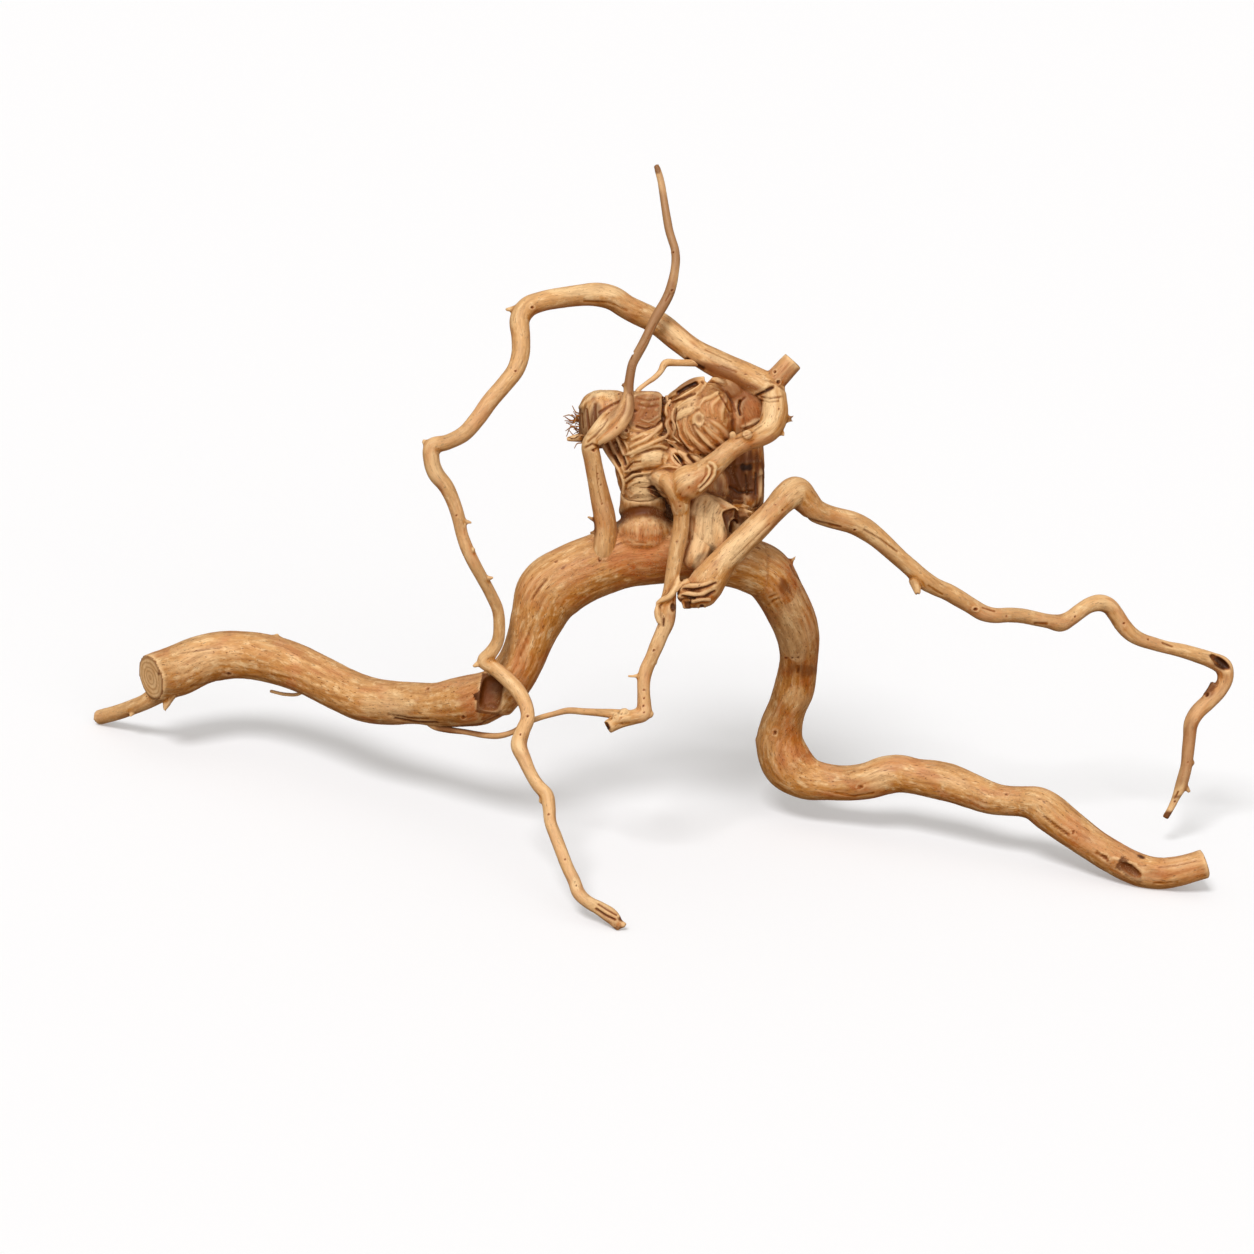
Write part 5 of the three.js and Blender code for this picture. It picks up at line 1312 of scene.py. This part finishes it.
# %% Cracks and ridges of the stump and the bulge
stump_skin.strokes([
    ([(46, 64.6), (47.4, 61), (48.6, 58)], 0.4, -0.5, 0.9, "pale"),
    ([(56.4, 66), (56.6, 60), (56.2, 55)], 0.6, -0.3, 0.6, "pale"),
    ([(52.6, 63), (52, 58)], 0.35, -0.3, 0.5, "pale"),
    ([(43.6, 68), (50, 69.4), (56, 70)], 0.5, -0.3, 0.5, "pale"),
    ([(50, 64), (50.6, 56)], 0.6, 0.8, 0.9, "dark"), ([(54.4, 65), (54.4, 56)], 0.6, 0.7, 0.9, "dark"),
    ([(44, 59), (47, 56.6), (53, 57)], 0.7, 0.9, 0.9, "dark"),
    ([(29.6, 52), (28.4, 45), (27.4, 37)], 0.35, 0.25, 0.2, "dark"),
    ([(33, 53), (32, 45), (31.6, 37)], 0.35, 0.2, 0.12, "dark"),
    ([(37, 52), (36, 45), (35.6, 39)], 0.35, 0.2, 0.12, "dark"),
])
stump_skin.pit(45.4, 43.8, 2.2, 2.0, 30, 2.0, 0, 0.95)

# %% Stains of the stump and the bulge
stump_skin.tints([
    ("dark", 48, 62, 14, 15, 0, 0.60), ("dark", 50.3, 67.1, 4.8, 2.4, 0, 1.0),
    ("pale", 33.4, 43, 9.6, 15, 0, 1.0), ("grey", 42.4, 43, 2.0, 6.6, 18, 1.0),
    ("grey", 32.2, 29.4, 8, 2.4, 42, 1.0), ("dark", 42.6, 43, 1.6, 5.6, 18, 0.2),
    ("pale", 30, 36, 6, 10, -20, 1.0), ("dark", 48, 46, 6, 4, 0, 0.5),
])
# Painted shade: the front of the lobe under the saddle, the floor of the dark gap beside the neck, is painted
# dark.
painted_shade_floor = (stump_skin.owner == first + stump_lobes.index(under_saddle)) & (stump_skin.facing > 0)
stump_skin.paint("dark", 0.85 * painted_shade_floor)
with_relief("stump_and_bulge", stump_skin, furrow=0.4, swell=0.5, fibre=0.16, fold=0.9)

# %% [markdown]
# ## The hoop and the middle limb
# They are one limb: it comes up the middle, turns over at the crown's right, and leaves as the hoop.
# The healed scar on the turn is a pale rope of new wood round a dark slit.

# %% Hoop and middle limb
hoop, middle, cut_twig = Limb(HOOP), Limb(MID_LIMB), spur(*SAWN_TWIG)
saddle = Limb([
    [10, 66, 40.4, 2.8], [13, 64, 44, 3.5], [16.8, 61.6, 47.4, 4.2],
    [20, 59.4, 50.2, 5], [22, 54.6, 48.8, 4.6],
    [22.6, 49, 46.6, 3.6],
])
knuckle = [Limb(r) for r in (
    [[21.4, 22, 45.6, 0.9], [20.8, 17.4, 47.4, 1.2], [18.4, 13.4, 48, 1.5], [14.8, 11.2, 47, 1.4],
     [12.9, 9.6, 45.6, 1.2]],
    [[26, 20, 44, 0.9], [22.6, 17.6, 47, 1.0], [20, 15, 48, 1.2]],
    [[13.2, 10, 46, 1.0], [12.6, 5.6, 46, 1.3], [13.6, 1.6, 45.6, 1.0]])]
hoop_limbs = [hoop, middle, cut_twig, saddle] + knuckle + [spur(*s) for s in HOOP_SPURS]
bark_lumps = [
    dict(at=[-1.4, -36.4, 47], half=[3, 2.2, 2.6], grain=(0.3, 1, 0)),
    dict(at=[-4.6, -38.6, 47.4], half=[2, 2.7, 2.6], grain=(0.5, 1, 0)),
]
knuckle_hollow = dict(at=[19.6, 8, 47.2], half=[1.5, 2.6, 1.8], turn=10)
broken_end = dict(at=[-9.0, -42.4, 47.4], half=[3.4, 1.9, 2.2], square=0.8, turn=32)
hoop_skin = grown("hoop_and_middle_limb", hoop_limbs, bark_lumps, voxel=0.48, smooth=3,
                  hollows=[knuckle_hollow, broken_end])
hoop_skin.sawn(cut_twig, True, 0.8)

# %% Pits of the hoop and the middle limb
hoop_skin.pits([
    (-40, 134.8, 0.9, 0.7, 0, 0.5, 0.2), (62.3, 107.7, 0.7, 0.8, 0, 0.6, 0.2),
    (63.8, 103.3, 0.9, 0.9, 0, 0.8, 0.3), (26, 64, 0.4, 0.4, 0, 0.4, 0), (26, 59, 0.4, 0.4, 0, 0.4, 0),
    (11.3, -9.8, 0.6, 0.6, 0, 0.5, 0.1), (7.2, -26.5, 0.5, 0.5, 0, 0.5, 0), (7.2, -30, 0.5, 0.5, 0, 0.5, 0),
    (6.9, -33.2, 0.6, 0.6, 0, 0.5, 0), (7.2, -36, 0.5, 0.5, 0, 0.4, 0), (-47, 108, 0.6, 0.6, 0, 0.4, 0.1),
    (-72, 47, 0.5, 0.5, 0, 0.4, 0), (-41.9, -37.5, 0.7, 0.8, 0, 0.4, 0.1),
    (-45, -45.3, 0.5, 0.7, 0, 0.4, 0.1), (-33, -79, 0.5, 0.6, 0, 0.4, 0), (-26, -98, 0.4, 0.5, 0, 0.4, 0),
    (-21.4, -109, 0.6, 0.5, 0, 0.4, 0.3), (50, 106.6, 0.5, 0.4, 0, 0.3, 0), (22.4, 51, 0.5, 0.4, 0, 0.4, 0),
    (21, 36, 0.4, 0.5, 0, 0.3, 0), (64, 92, 0.4, 0.4, 0, 0.3, 0),
], dark=0.75)

# %% Cracks and ridges of the hoop and the middle limb
hoop_skin.strokes([
    ([(34.8, 69.4), (36.4, 68.8), (37.3, 67.2), (36.9, 64.4), (34.6, 61.2), (30.8, 57.8)],
     0.5, -0.65, 0.95, "pale"),
    ([(35, 68.2), (36.0, 67), (35.7, 64.6), (33.5, 61.4), (30.8, 58.8)], 0.3, 0.35, 0.3, "dark"),
    ([(34.0, 68.0), (34.9, 66.6), (34.5, 64.2), (32.4, 61.2), (30.2, 59.2)], 0.4, -0.45, 0.9, "pale"),
    ([(33.4, 66.8), (33.2, 63.8), (31.2, 60.8)], 0.35, 0.35, 0.25, "dark"),
    ([(15.5, 3.4), (15.3, 0.6)], 0.4, 0.5, 0.8, "dark"),
    ([(25.4, 112.8), (28.6, 110.8), (32, 109)], 0.8, 0.5, 0.9, "dark"),
    ([(54.6, 97.6), (58.3, 99.3), (61.4, 101.2)], 0.6, 0.9, 0.95, "dark"),
    ([(56, 97.2), (60, 96.4), (65, 97.2)], 0.35, 0.35, 0.4, "dark"),
    ([(56.4, 95.6), (60, 94.9), (64, 95.4)], 0.3, 0.3, 0.3, "dark"),
    ([(67, 99.6), (62.4, 103), (58.6, 104)], 0.35, 0.25, 0.2, "dark"),
    ([(-18, 137.4), (-8, 137), (0, 133.6)], 0.4, 0.3, 0.3, "dark"),
    ([(46, 107.6), (40, 110)], 0.35, 0.3, 0.4, "dark"),
    ([(44, 112), (38, 114.6), (33, 117)], 0.3, 0.25, 0.3, "dark"),
    ([(-13, -118.9), (-9, -121.6), (-5, -123.4)], 0.45, 0.7, 0.8, "dark"),
    ([(-12, -116.9), (-8, -119.4), (-4.6, -121.4)], 0.4, 0.5, 0.6, "dark"),
    ([(46, 79.4), (52, 81.4), (56.6, 85)], 0.3, 0.3, 0.3, "dark"),
])

# %% Stains of the hoop and the middle limb, and painted shade under the hoop
hoop_skin.tints([
    ("pale", 24, 62, 4, 3, 0, 0.6), ("pale", -14, 142, 20, 2.6, 0, 0.9), ("pale", 60, 92, 4.6, 9, 0, 1.0),
    ("pale", 20, 124, 9, 3, -38, 0.9), ("orange", -20, -108, 9, 14, 0, 0.9),
    ("orange", -42, -48, 5, 20, 0, 0.5), ("orange", 20, 8, 4, 6, 0, 0.8),
    ("dark", 19.4, 8, 1.2, 2.2, 0, 0.8), ("orange", -6, -124, 6, 5, 0, 1.0),
    ("dark", -2.4, -122.8, 1.6, 1.4, 0, 0.6), ("dark", -5, -127, 3, 1.2, 0, 0.5),
    ("pale", -80, 66, 4, 9, 0, 0.6), ("orange", -72, 42, 4, 12, 0, 0.5),
    ("dark", -8.8, -42.4, 2.2, 1.8, 0, 0.95), ("pale", 14, -2, 4, 8, 0, 0.6),
    ("pale", -2, -36, 4, 2.6, 0, 0.8), ("orange", 50, 76, 8, 4, 30, 0.5),
    ("pale", -45.4, -49.4, 3, 4, 0, 0.7), ("orange", 42, 106, 16, 4.6, -27, 1.0),
    # Painted shade: the dark band (42, 106) on the hoop's underside near the crown, over a real orange band.
    ("dark", 42, 106, 15, 3.4, -27, 0.42), ("dark", 69.6, 88, 1.8, 2.2, 0, 0.5),
    ("orange", 33, 63.4, 3.4, 4.6, -30, 0.8), ("orange", 66, 108, 5, 5, 0, 0.7),
    ("pale", -21.6, -108.6, 2, 3, 0, 0.8), ("pale", 36, 114, 12, 2.4, -25, 0.6),
])
hoop_skin.crumple(-3, -38, 5.4, 4.4)
hoop_skin.crumple(16, 11, 5, 5, 0, 0.7)
with_relief("hoop_and_middle_limb", hoop_skin, furrow=0.7, swell=1.4, fibre=0.24, fold=0.8)

# %% [markdown]
# ## The right limb
# It starts as a gnarled knob with sideways wrinkles, climbs to a knee, and runs out long and thin to a
# drooping tip. Where it turns down, a piece of old bark has left an open hole with a dark rim.

# %% Right limb
right_limbs = [Limb(RIGHT_LIMB)] + [spur(*s) for s in RIGHT_SPURS] + [Limb(r) for r in (
    [[22.4, 15.4, 46, 0.9], [26, 17.4, 49, 1.1], [31, 17.4, 50, 1.2], [35.4, 19, 49, 1.0]],
    [[21.6, 12.6, 46, 0.9], [25.6, 14, 49.4, 1.1], [30.4, 13.6, 50.2, 1.1], [35, 15.6, 49, 0.9]],
    [[27, 10.4, 48.4, 0.8], [31, 11.6, 50, 1.0], [35.6, 11.4, 48.6, 0.8]])]
elbow_hole = dict(at=[250.4, -15.0, -42.4], half=[5.6, 1.8, 2.6], turn=-37, square=0.85)
knob_hole = dict(at=[31.4, 8.6, 48], half=[1.7, 1.5, 2.4])
right_skin = grown("right_limb", right_limbs, [knob], voxel=0.48, smooth=3, hollows=[elbow_hole, knob_hole])
right_skin.fold[right_skin.owner >= len(right_limbs)] = 0.7

# %% Pits of the right limb
right_skin.pits([
    (30.5, 17.6, 0.6, 0.5, 0, 0.6, 0.1), (31.5, 8.6, 1.2, 1.0, 0, 0.8, 0.2),
    (147, 7.5, 1.2, 0.8, 0, 0.4, 0.3), (80.7, 44.4, 0.6, 0.5, 0, 0.4, 0.1), (96, 41, 0.6, 0.5, 0, 0.4, 0.1),
    (62.4, 51.6, 0.4, 0.4, 0, 0.4, 0), (65.6, 49.4, 0.4, 0.4, 0, 0.4, 0),
    (122.6, 13.8, 0.7, 0.7, 0, 0.5, 0), (160, 4.6, 0.5, 0.4, 0, 0.3, 0), (209.6, 1.6, 0.5, 0.5, 0, 0.4, 0),
    (219.8, -5.2, 0.5, 0.5, 0, 0.4, 0), (189, 4.4, 0.4, 0.5, 0, 0.3, 0),
    (244.6, -28.6, 0.9, 1.2, -35, 0.8, 0.2), (236.6, -57, 0.4, 0.5, 0, 0.3, 0),
    (231, -73.6, 0.5, 0.7, 0, 0.4, 0), (37.6, 24.4, 0.4, 0.4, 0, 0.3, 0), (45.4, 30.6, 0.4, 0.4, 0, 0.3, 0),
], dark=0.75)

# %% Cracks and ridges of the right limb
right_skin.strokes([
    ([(73, 46.4), (80, 44.6), (90, 42.2)], 0.4, 0.4, 0.4),
    ([(100, 41), (107, 37), (114, 32)], 0.4, 0.4, 0.4), ([(226, -6.6), (230, -8.2)], 0.35, 0.3, 0.5),
    ([(172, 1.6), (177, 1.4)], 0.5, 0.3, 0.4), ([(44, 28), (52, 35.6), (60, 43.4)], 0.3, 0.3, 0.2),
    ([(23.6, 16), (28, 15.6), (34, 17), (37.6, 18.6)], 0.4, 0.7, 0.7),
    ([(23, 13), (28, 12.2), (33, 12.8), (37, 15)], 0.4, 0.7, 0.7),
    ([(127, 17.6), (133, 13.8)], 0.3, 0.25, 0.3),
    ([(248, -20.6), (244.6, -25.4), (243.4, -28.4)], 0.5, 0.5, 0.7),
    ([(232.4, -69.6), (231, -72)], 0.4, 0.5, 0.5), ([(150, 8.2), (155, 6.6)], 0.3, 0.3, 0.3),
    ([(24, 10.6), (24.6, 8)], 0.3, 0.4, 0.5), ([(26.8, 12), (26.6, 8.4)], 0.3, 0.4, 0.7),
])

# %% Stains of the right limb
right_skin.tints([
    ("pale", 48, 35, 14, 5, 45, 0.9), ("pale", 72, 56, 5, 6, 0, 0.5), ("orange", 30, 13, 9, 7, 0, 0.9),
    ("dark", 25.6, 9.6, 1.8, 2.4, 0, 0.75), ("orange", 222, -6.5, 8, 2.6, -10, 0.8),
    ("orange", 90, 44, 8, 5, 0, 0.5), ("dark", 250.6, -15.2, 5.8, 2.1, -37, 0.95),
    ("dark", 246, -25.4, 2.6, 5, -35, 0.55), ("orange", 238, -56, 5, 24, 0, 1.0),
    ("dark", 237, -56, 5, 24, 0, 0.26), ("dark", 228, -79.4, 3, 3, 0, 0.6),
    ("dark", 232, -71.6, 2.4, 1.2, 20, 0.5), ("pale", 200, 9, 7, 3, 0, 0.6),
    ("pale", 106, 36, 12, 3, -38, 0.5), ("orange", 180, 3, 9, 3, 0, 0.6),
    ("orange", 242, -34, 6, 5, 40, 0.6), ("orange", 251, -23, 11, 12, 0, 0.7),
    ("orange", 60, 45, 6, 4, 45, 0.4), ("orange", 150, 6, 8, 3, 0, 0.5),
])
with_relief("right_limb", right_skin, furrow=0.7, swell=1.5, fibre=0.24, fold=0.8)

# %% [markdown]
# ## The strut and the top twig
# A smooth young limb that leaned on the trunk. Above the crown it thins into a reddish twig.

# %% Strut and twig
strut_limbs = [Limb(ARM_STRUT)] + [Limb(root) for root in ARMS] + [spur(*s) for s in STRUT_SPURS]
strut_skin = grown("strut_and_twig", strut_limbs, [], voxel=0.42, smooth=3)

# %% Pits of the strut
strut_skin.pits([
    (2.3, 115.5, 0.6, 0.7, 0, 0.4, 0.2), (19, 142, 0.9, 0.6, 30, 0.3, 0.3),
    (19.5, 158, 0.6, 0.6, 0, 0.3, 0.2), (-14, 74.4, 0.9, 0.6, 0, 0.6, 0.1), (-11, 60, 0.4, 0.4, 0, 0.3, 0),
    (-10.6, 52, 0.4, 0.4, 0, 0.3, 0), (-12.4, 64.6, 0.4, 0.4, 0, 0.3, 0), (-12, 62.6, 0.4, 0.4, 0, 0.3, 0),
    (-4.4, 84, 0.6, 0.4, 40, 0.3, 0),
], dark=0.7)

# %% Cracks and ridges of the strut
strut_skin.strokes([
    ([(-8.4, 87.6), (-10.4, 84.2), (-13.2, 81), (-16.6, 78.2)], 0.45, 0.5, 0.25),
    ([(-17.6, 75.8), (-14.6, 77.2), (-12.4, 76.2)], 0.4, 0.5, 0.5),
    ([(-15, 74.6), (-12, 75.6), (-10, 77)], 0.3, 0.3, 0.35),
    ([(-13, 68), (-12.4, 60), (-10.6, 52)], 0.25, 0.2, 0.2), ([(16.4, 137.6), (18, 140.4)], 0.3, 0.3, 0.5),
    ([(1.6, 113), (2.6, 116)], 0.3, 0.3, 0.6), ([(12, 128), (9, 122), (6, 117)], 0.25, 0.2, 0.3),
])

# %% Stains of the strut
strut_skin.tints([
    ("orange", 10, 126, 14, 40, -18, 0.9), ("dark", 10, 126, 14, 40, -18, 0.40),
    ("orange", 18, 170, 8, 34, 0, 0.9), ("dark", 18, 164, 9, 34, 0, 0.36), ("dark", 1, 104, 5, 11, 0, 0.46),
    ("pale", -13, 84, 4, 6, -40, 0.8), ("dark", 12.4, 193, 2, 2.4, 0, 0.5),
    ("pale", -12, 60, 3.4, 14, 8, 0.3), ("dark", -15, 43, 2.6, 5, 0, 0.5),
    ("orange", -11, 46, 5, 12, 0, 0.6), ("pale", -11, 36, 4, 8, 0, 0.4),
])
with_relief("strut_and_twig", strut_skin, furrow=0.45, swell=0.6, fibre=0.16, fold=0.0)

# %% [markdown]
# ## Thin roots
# The root under the arch, the kinked twig, a stray root and the tuft of hair roots on the left lobe.
# The tuft is drawn by rule: each hair starts on the lobe and wanders out, with a fixed seed.

# %% Thin roots and hair roots
thin_limbs = [Limb(r) for r in (UNDER_ROOT, BROKEN_TWIG, STRAY_ROOT)]
thin_skin = grown("thin_roots", thin_limbs, [], voxel=0.3, smooth=3)
thin_skin.tint("orange", -60, -44, 30, 6, 0, 0.8)
thin_skin.tint("dark", -66, -43, 22, 3, 0, 0.5)
with_relief("thin_roots", thin_skin, furrow=0.3, swell=0.4, fibre=0.12, fold=0.0)

HAIR_COUNT = 20
chance = np.random.default_rng(7)
hairs = []
for _ in range(HAIR_COUNT):
    a, u, t = -17.5 + chance.uniform(-1, 1.5), chance.uniform(76, 90), chance.uniform(33, 44)
    out, climb, width = chance.uniform(4, 10), chance.uniform(-3, 5), chance.uniform(0.2, 0.42)
    bend = chance.uniform(-2, 2, 4)
    hairs.append(Limb([
        [a, u, t, width * 1.3],
        [a - 0.35 * out, u + 0.2 * climb + bend[0] * 0.6, t + bend[1], width],
        [a - 0.7 * out, u + 0.5 * climb + bend[2], t + bend[3], width * 0.8],
        [a - out, u + climb + bend[0], t + bend[1] * 1.5, width * 0.5],
    ], 0.6))
hair_piece = shown("hair_roots_raw", raw_mesh("hair_roots", hairs, []))
use_tree(hair_piece, limb_tree, Sides=6, Wood=wood)
hair_mesh = baked(hair_piece)
hair_co = read(hair_mesh.vertices, "co")
put(hair_mesh, "grain", grain_of(hair_co, hairs, [])[0])
put(hair_mesh, "dark", np.full(len(hair_co), 0.25))
hair_mesh.name = "hair_roots"
hair_roots = mount("hair_roots", hair_mesh)

# %% [markdown]
# ## Floor and light
# A plain pale floor that catches a soft shadow, a large lamp above and to the left, a weak one in
# front, and a sky that is pale above and brown below.
# The floor sends no light up at the wood, so that undersides keep their shade.

# %% Floor
floor_mesh = bpy.data.meshes.new("floor")
floor_mesh.from_pydata([(-9, -9, 0), (9, -9, 0), (9, 16, 0), (-9, 16, 0)], [], [(0, 1, 2, 3)])
floor = shown("floor", floor_mesh)
floor.location.z = -0.0002
floor.visible_diffuse = floor.visible_glossy = False
paint = bpy.data.materials.new("floor_paint")
paint.use_nodes = True
coat = paint.node_tree.nodes["Principled BSDF"].inputs
coat["Base Color"].default_value = (0.72, 0.72, 0.74, 1)
coat["Roughness"].default_value = 1.0
coat["Specular IOR Level"].default_value = 0.0
coat["Emission Color"].default_value = (1, 1, 1, 1)
coat["Emission Strength"].default_value = 0.235
floor_mesh.materials.append(paint)
floor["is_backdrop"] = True

# %% Lamps and sky
def sun(name, direction, strength, softness):
    """A distant lamp that shines along a direction; softness is its width in degrees."""
    data = bpy.data.lights.new(name, "SUN")
    data.energy, data.angle = strength, math.radians(softness)
    made = bpy.data.objects.new(name, data)
    bpy.context.scene.collection.objects.link(made)
    made.rotation_euler = Vector(direction).to_track_quat("-Z", "Y").to_euler()
    return made


sun("key", (0.30, 0.62, -0.9), 2.05, 20)
sun("fill", (-0.35, 1.0, -0.35), 1.0, 60)
sky = bpy.data.worlds.new("sky")
sky.use_nodes = True
direction = wire(sky.node_tree, "ShaderNodeTexCoord").outputs["Generated"]
rise = wire(sky.node_tree, "ShaderNodeSeparateXYZ", i0=direction).outputs[2]
half = wire(sky.node_tree, "ShaderNodeMapRange", i0=rise, i1=-1.0, i2=1.0).outputs[0]
dome = wire(sky.node_tree, "ShaderNodeValToRGB", i0=half)
steps = dome.color_ramp.elements
steps[0].position, steps[0].color = 0.0, (0.40, 0.27, 0.15, 1)
steps[1].position, steps[1].color = 1.0, (0.85, 0.84, 0.80, 1)
for spot, shade in ((0.50, (0.44, 0.36, 0.27, 1)), (0.66, (0.60, 0.56, 0.50, 1))):
    steps.new(spot).color = shade
backdrop = sky.node_tree.nodes["Background"]
sky.node_tree.links.new(dome.outputs[0], backdrop.inputs["Color"])
backdrop.inputs["Strength"].default_value = 0.60
bpy.context.scene.world = sky
bpy.context.scene.view_settings.view_transform = "Standard"

# %% [markdown]
# ## Sizes, and the end
# The dressed root has to be as large as the solid. The solid's box is printed at the start, and here how far
# each corner of the dressed box lies from it.

# %% Compare the boxes and finish
final_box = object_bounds()
growth = [[round((b - a) * 1000, 1) for a, b in zip(*corners)] for corners in zip(cad_box, final_box)]
print("grew by mm:", growth)
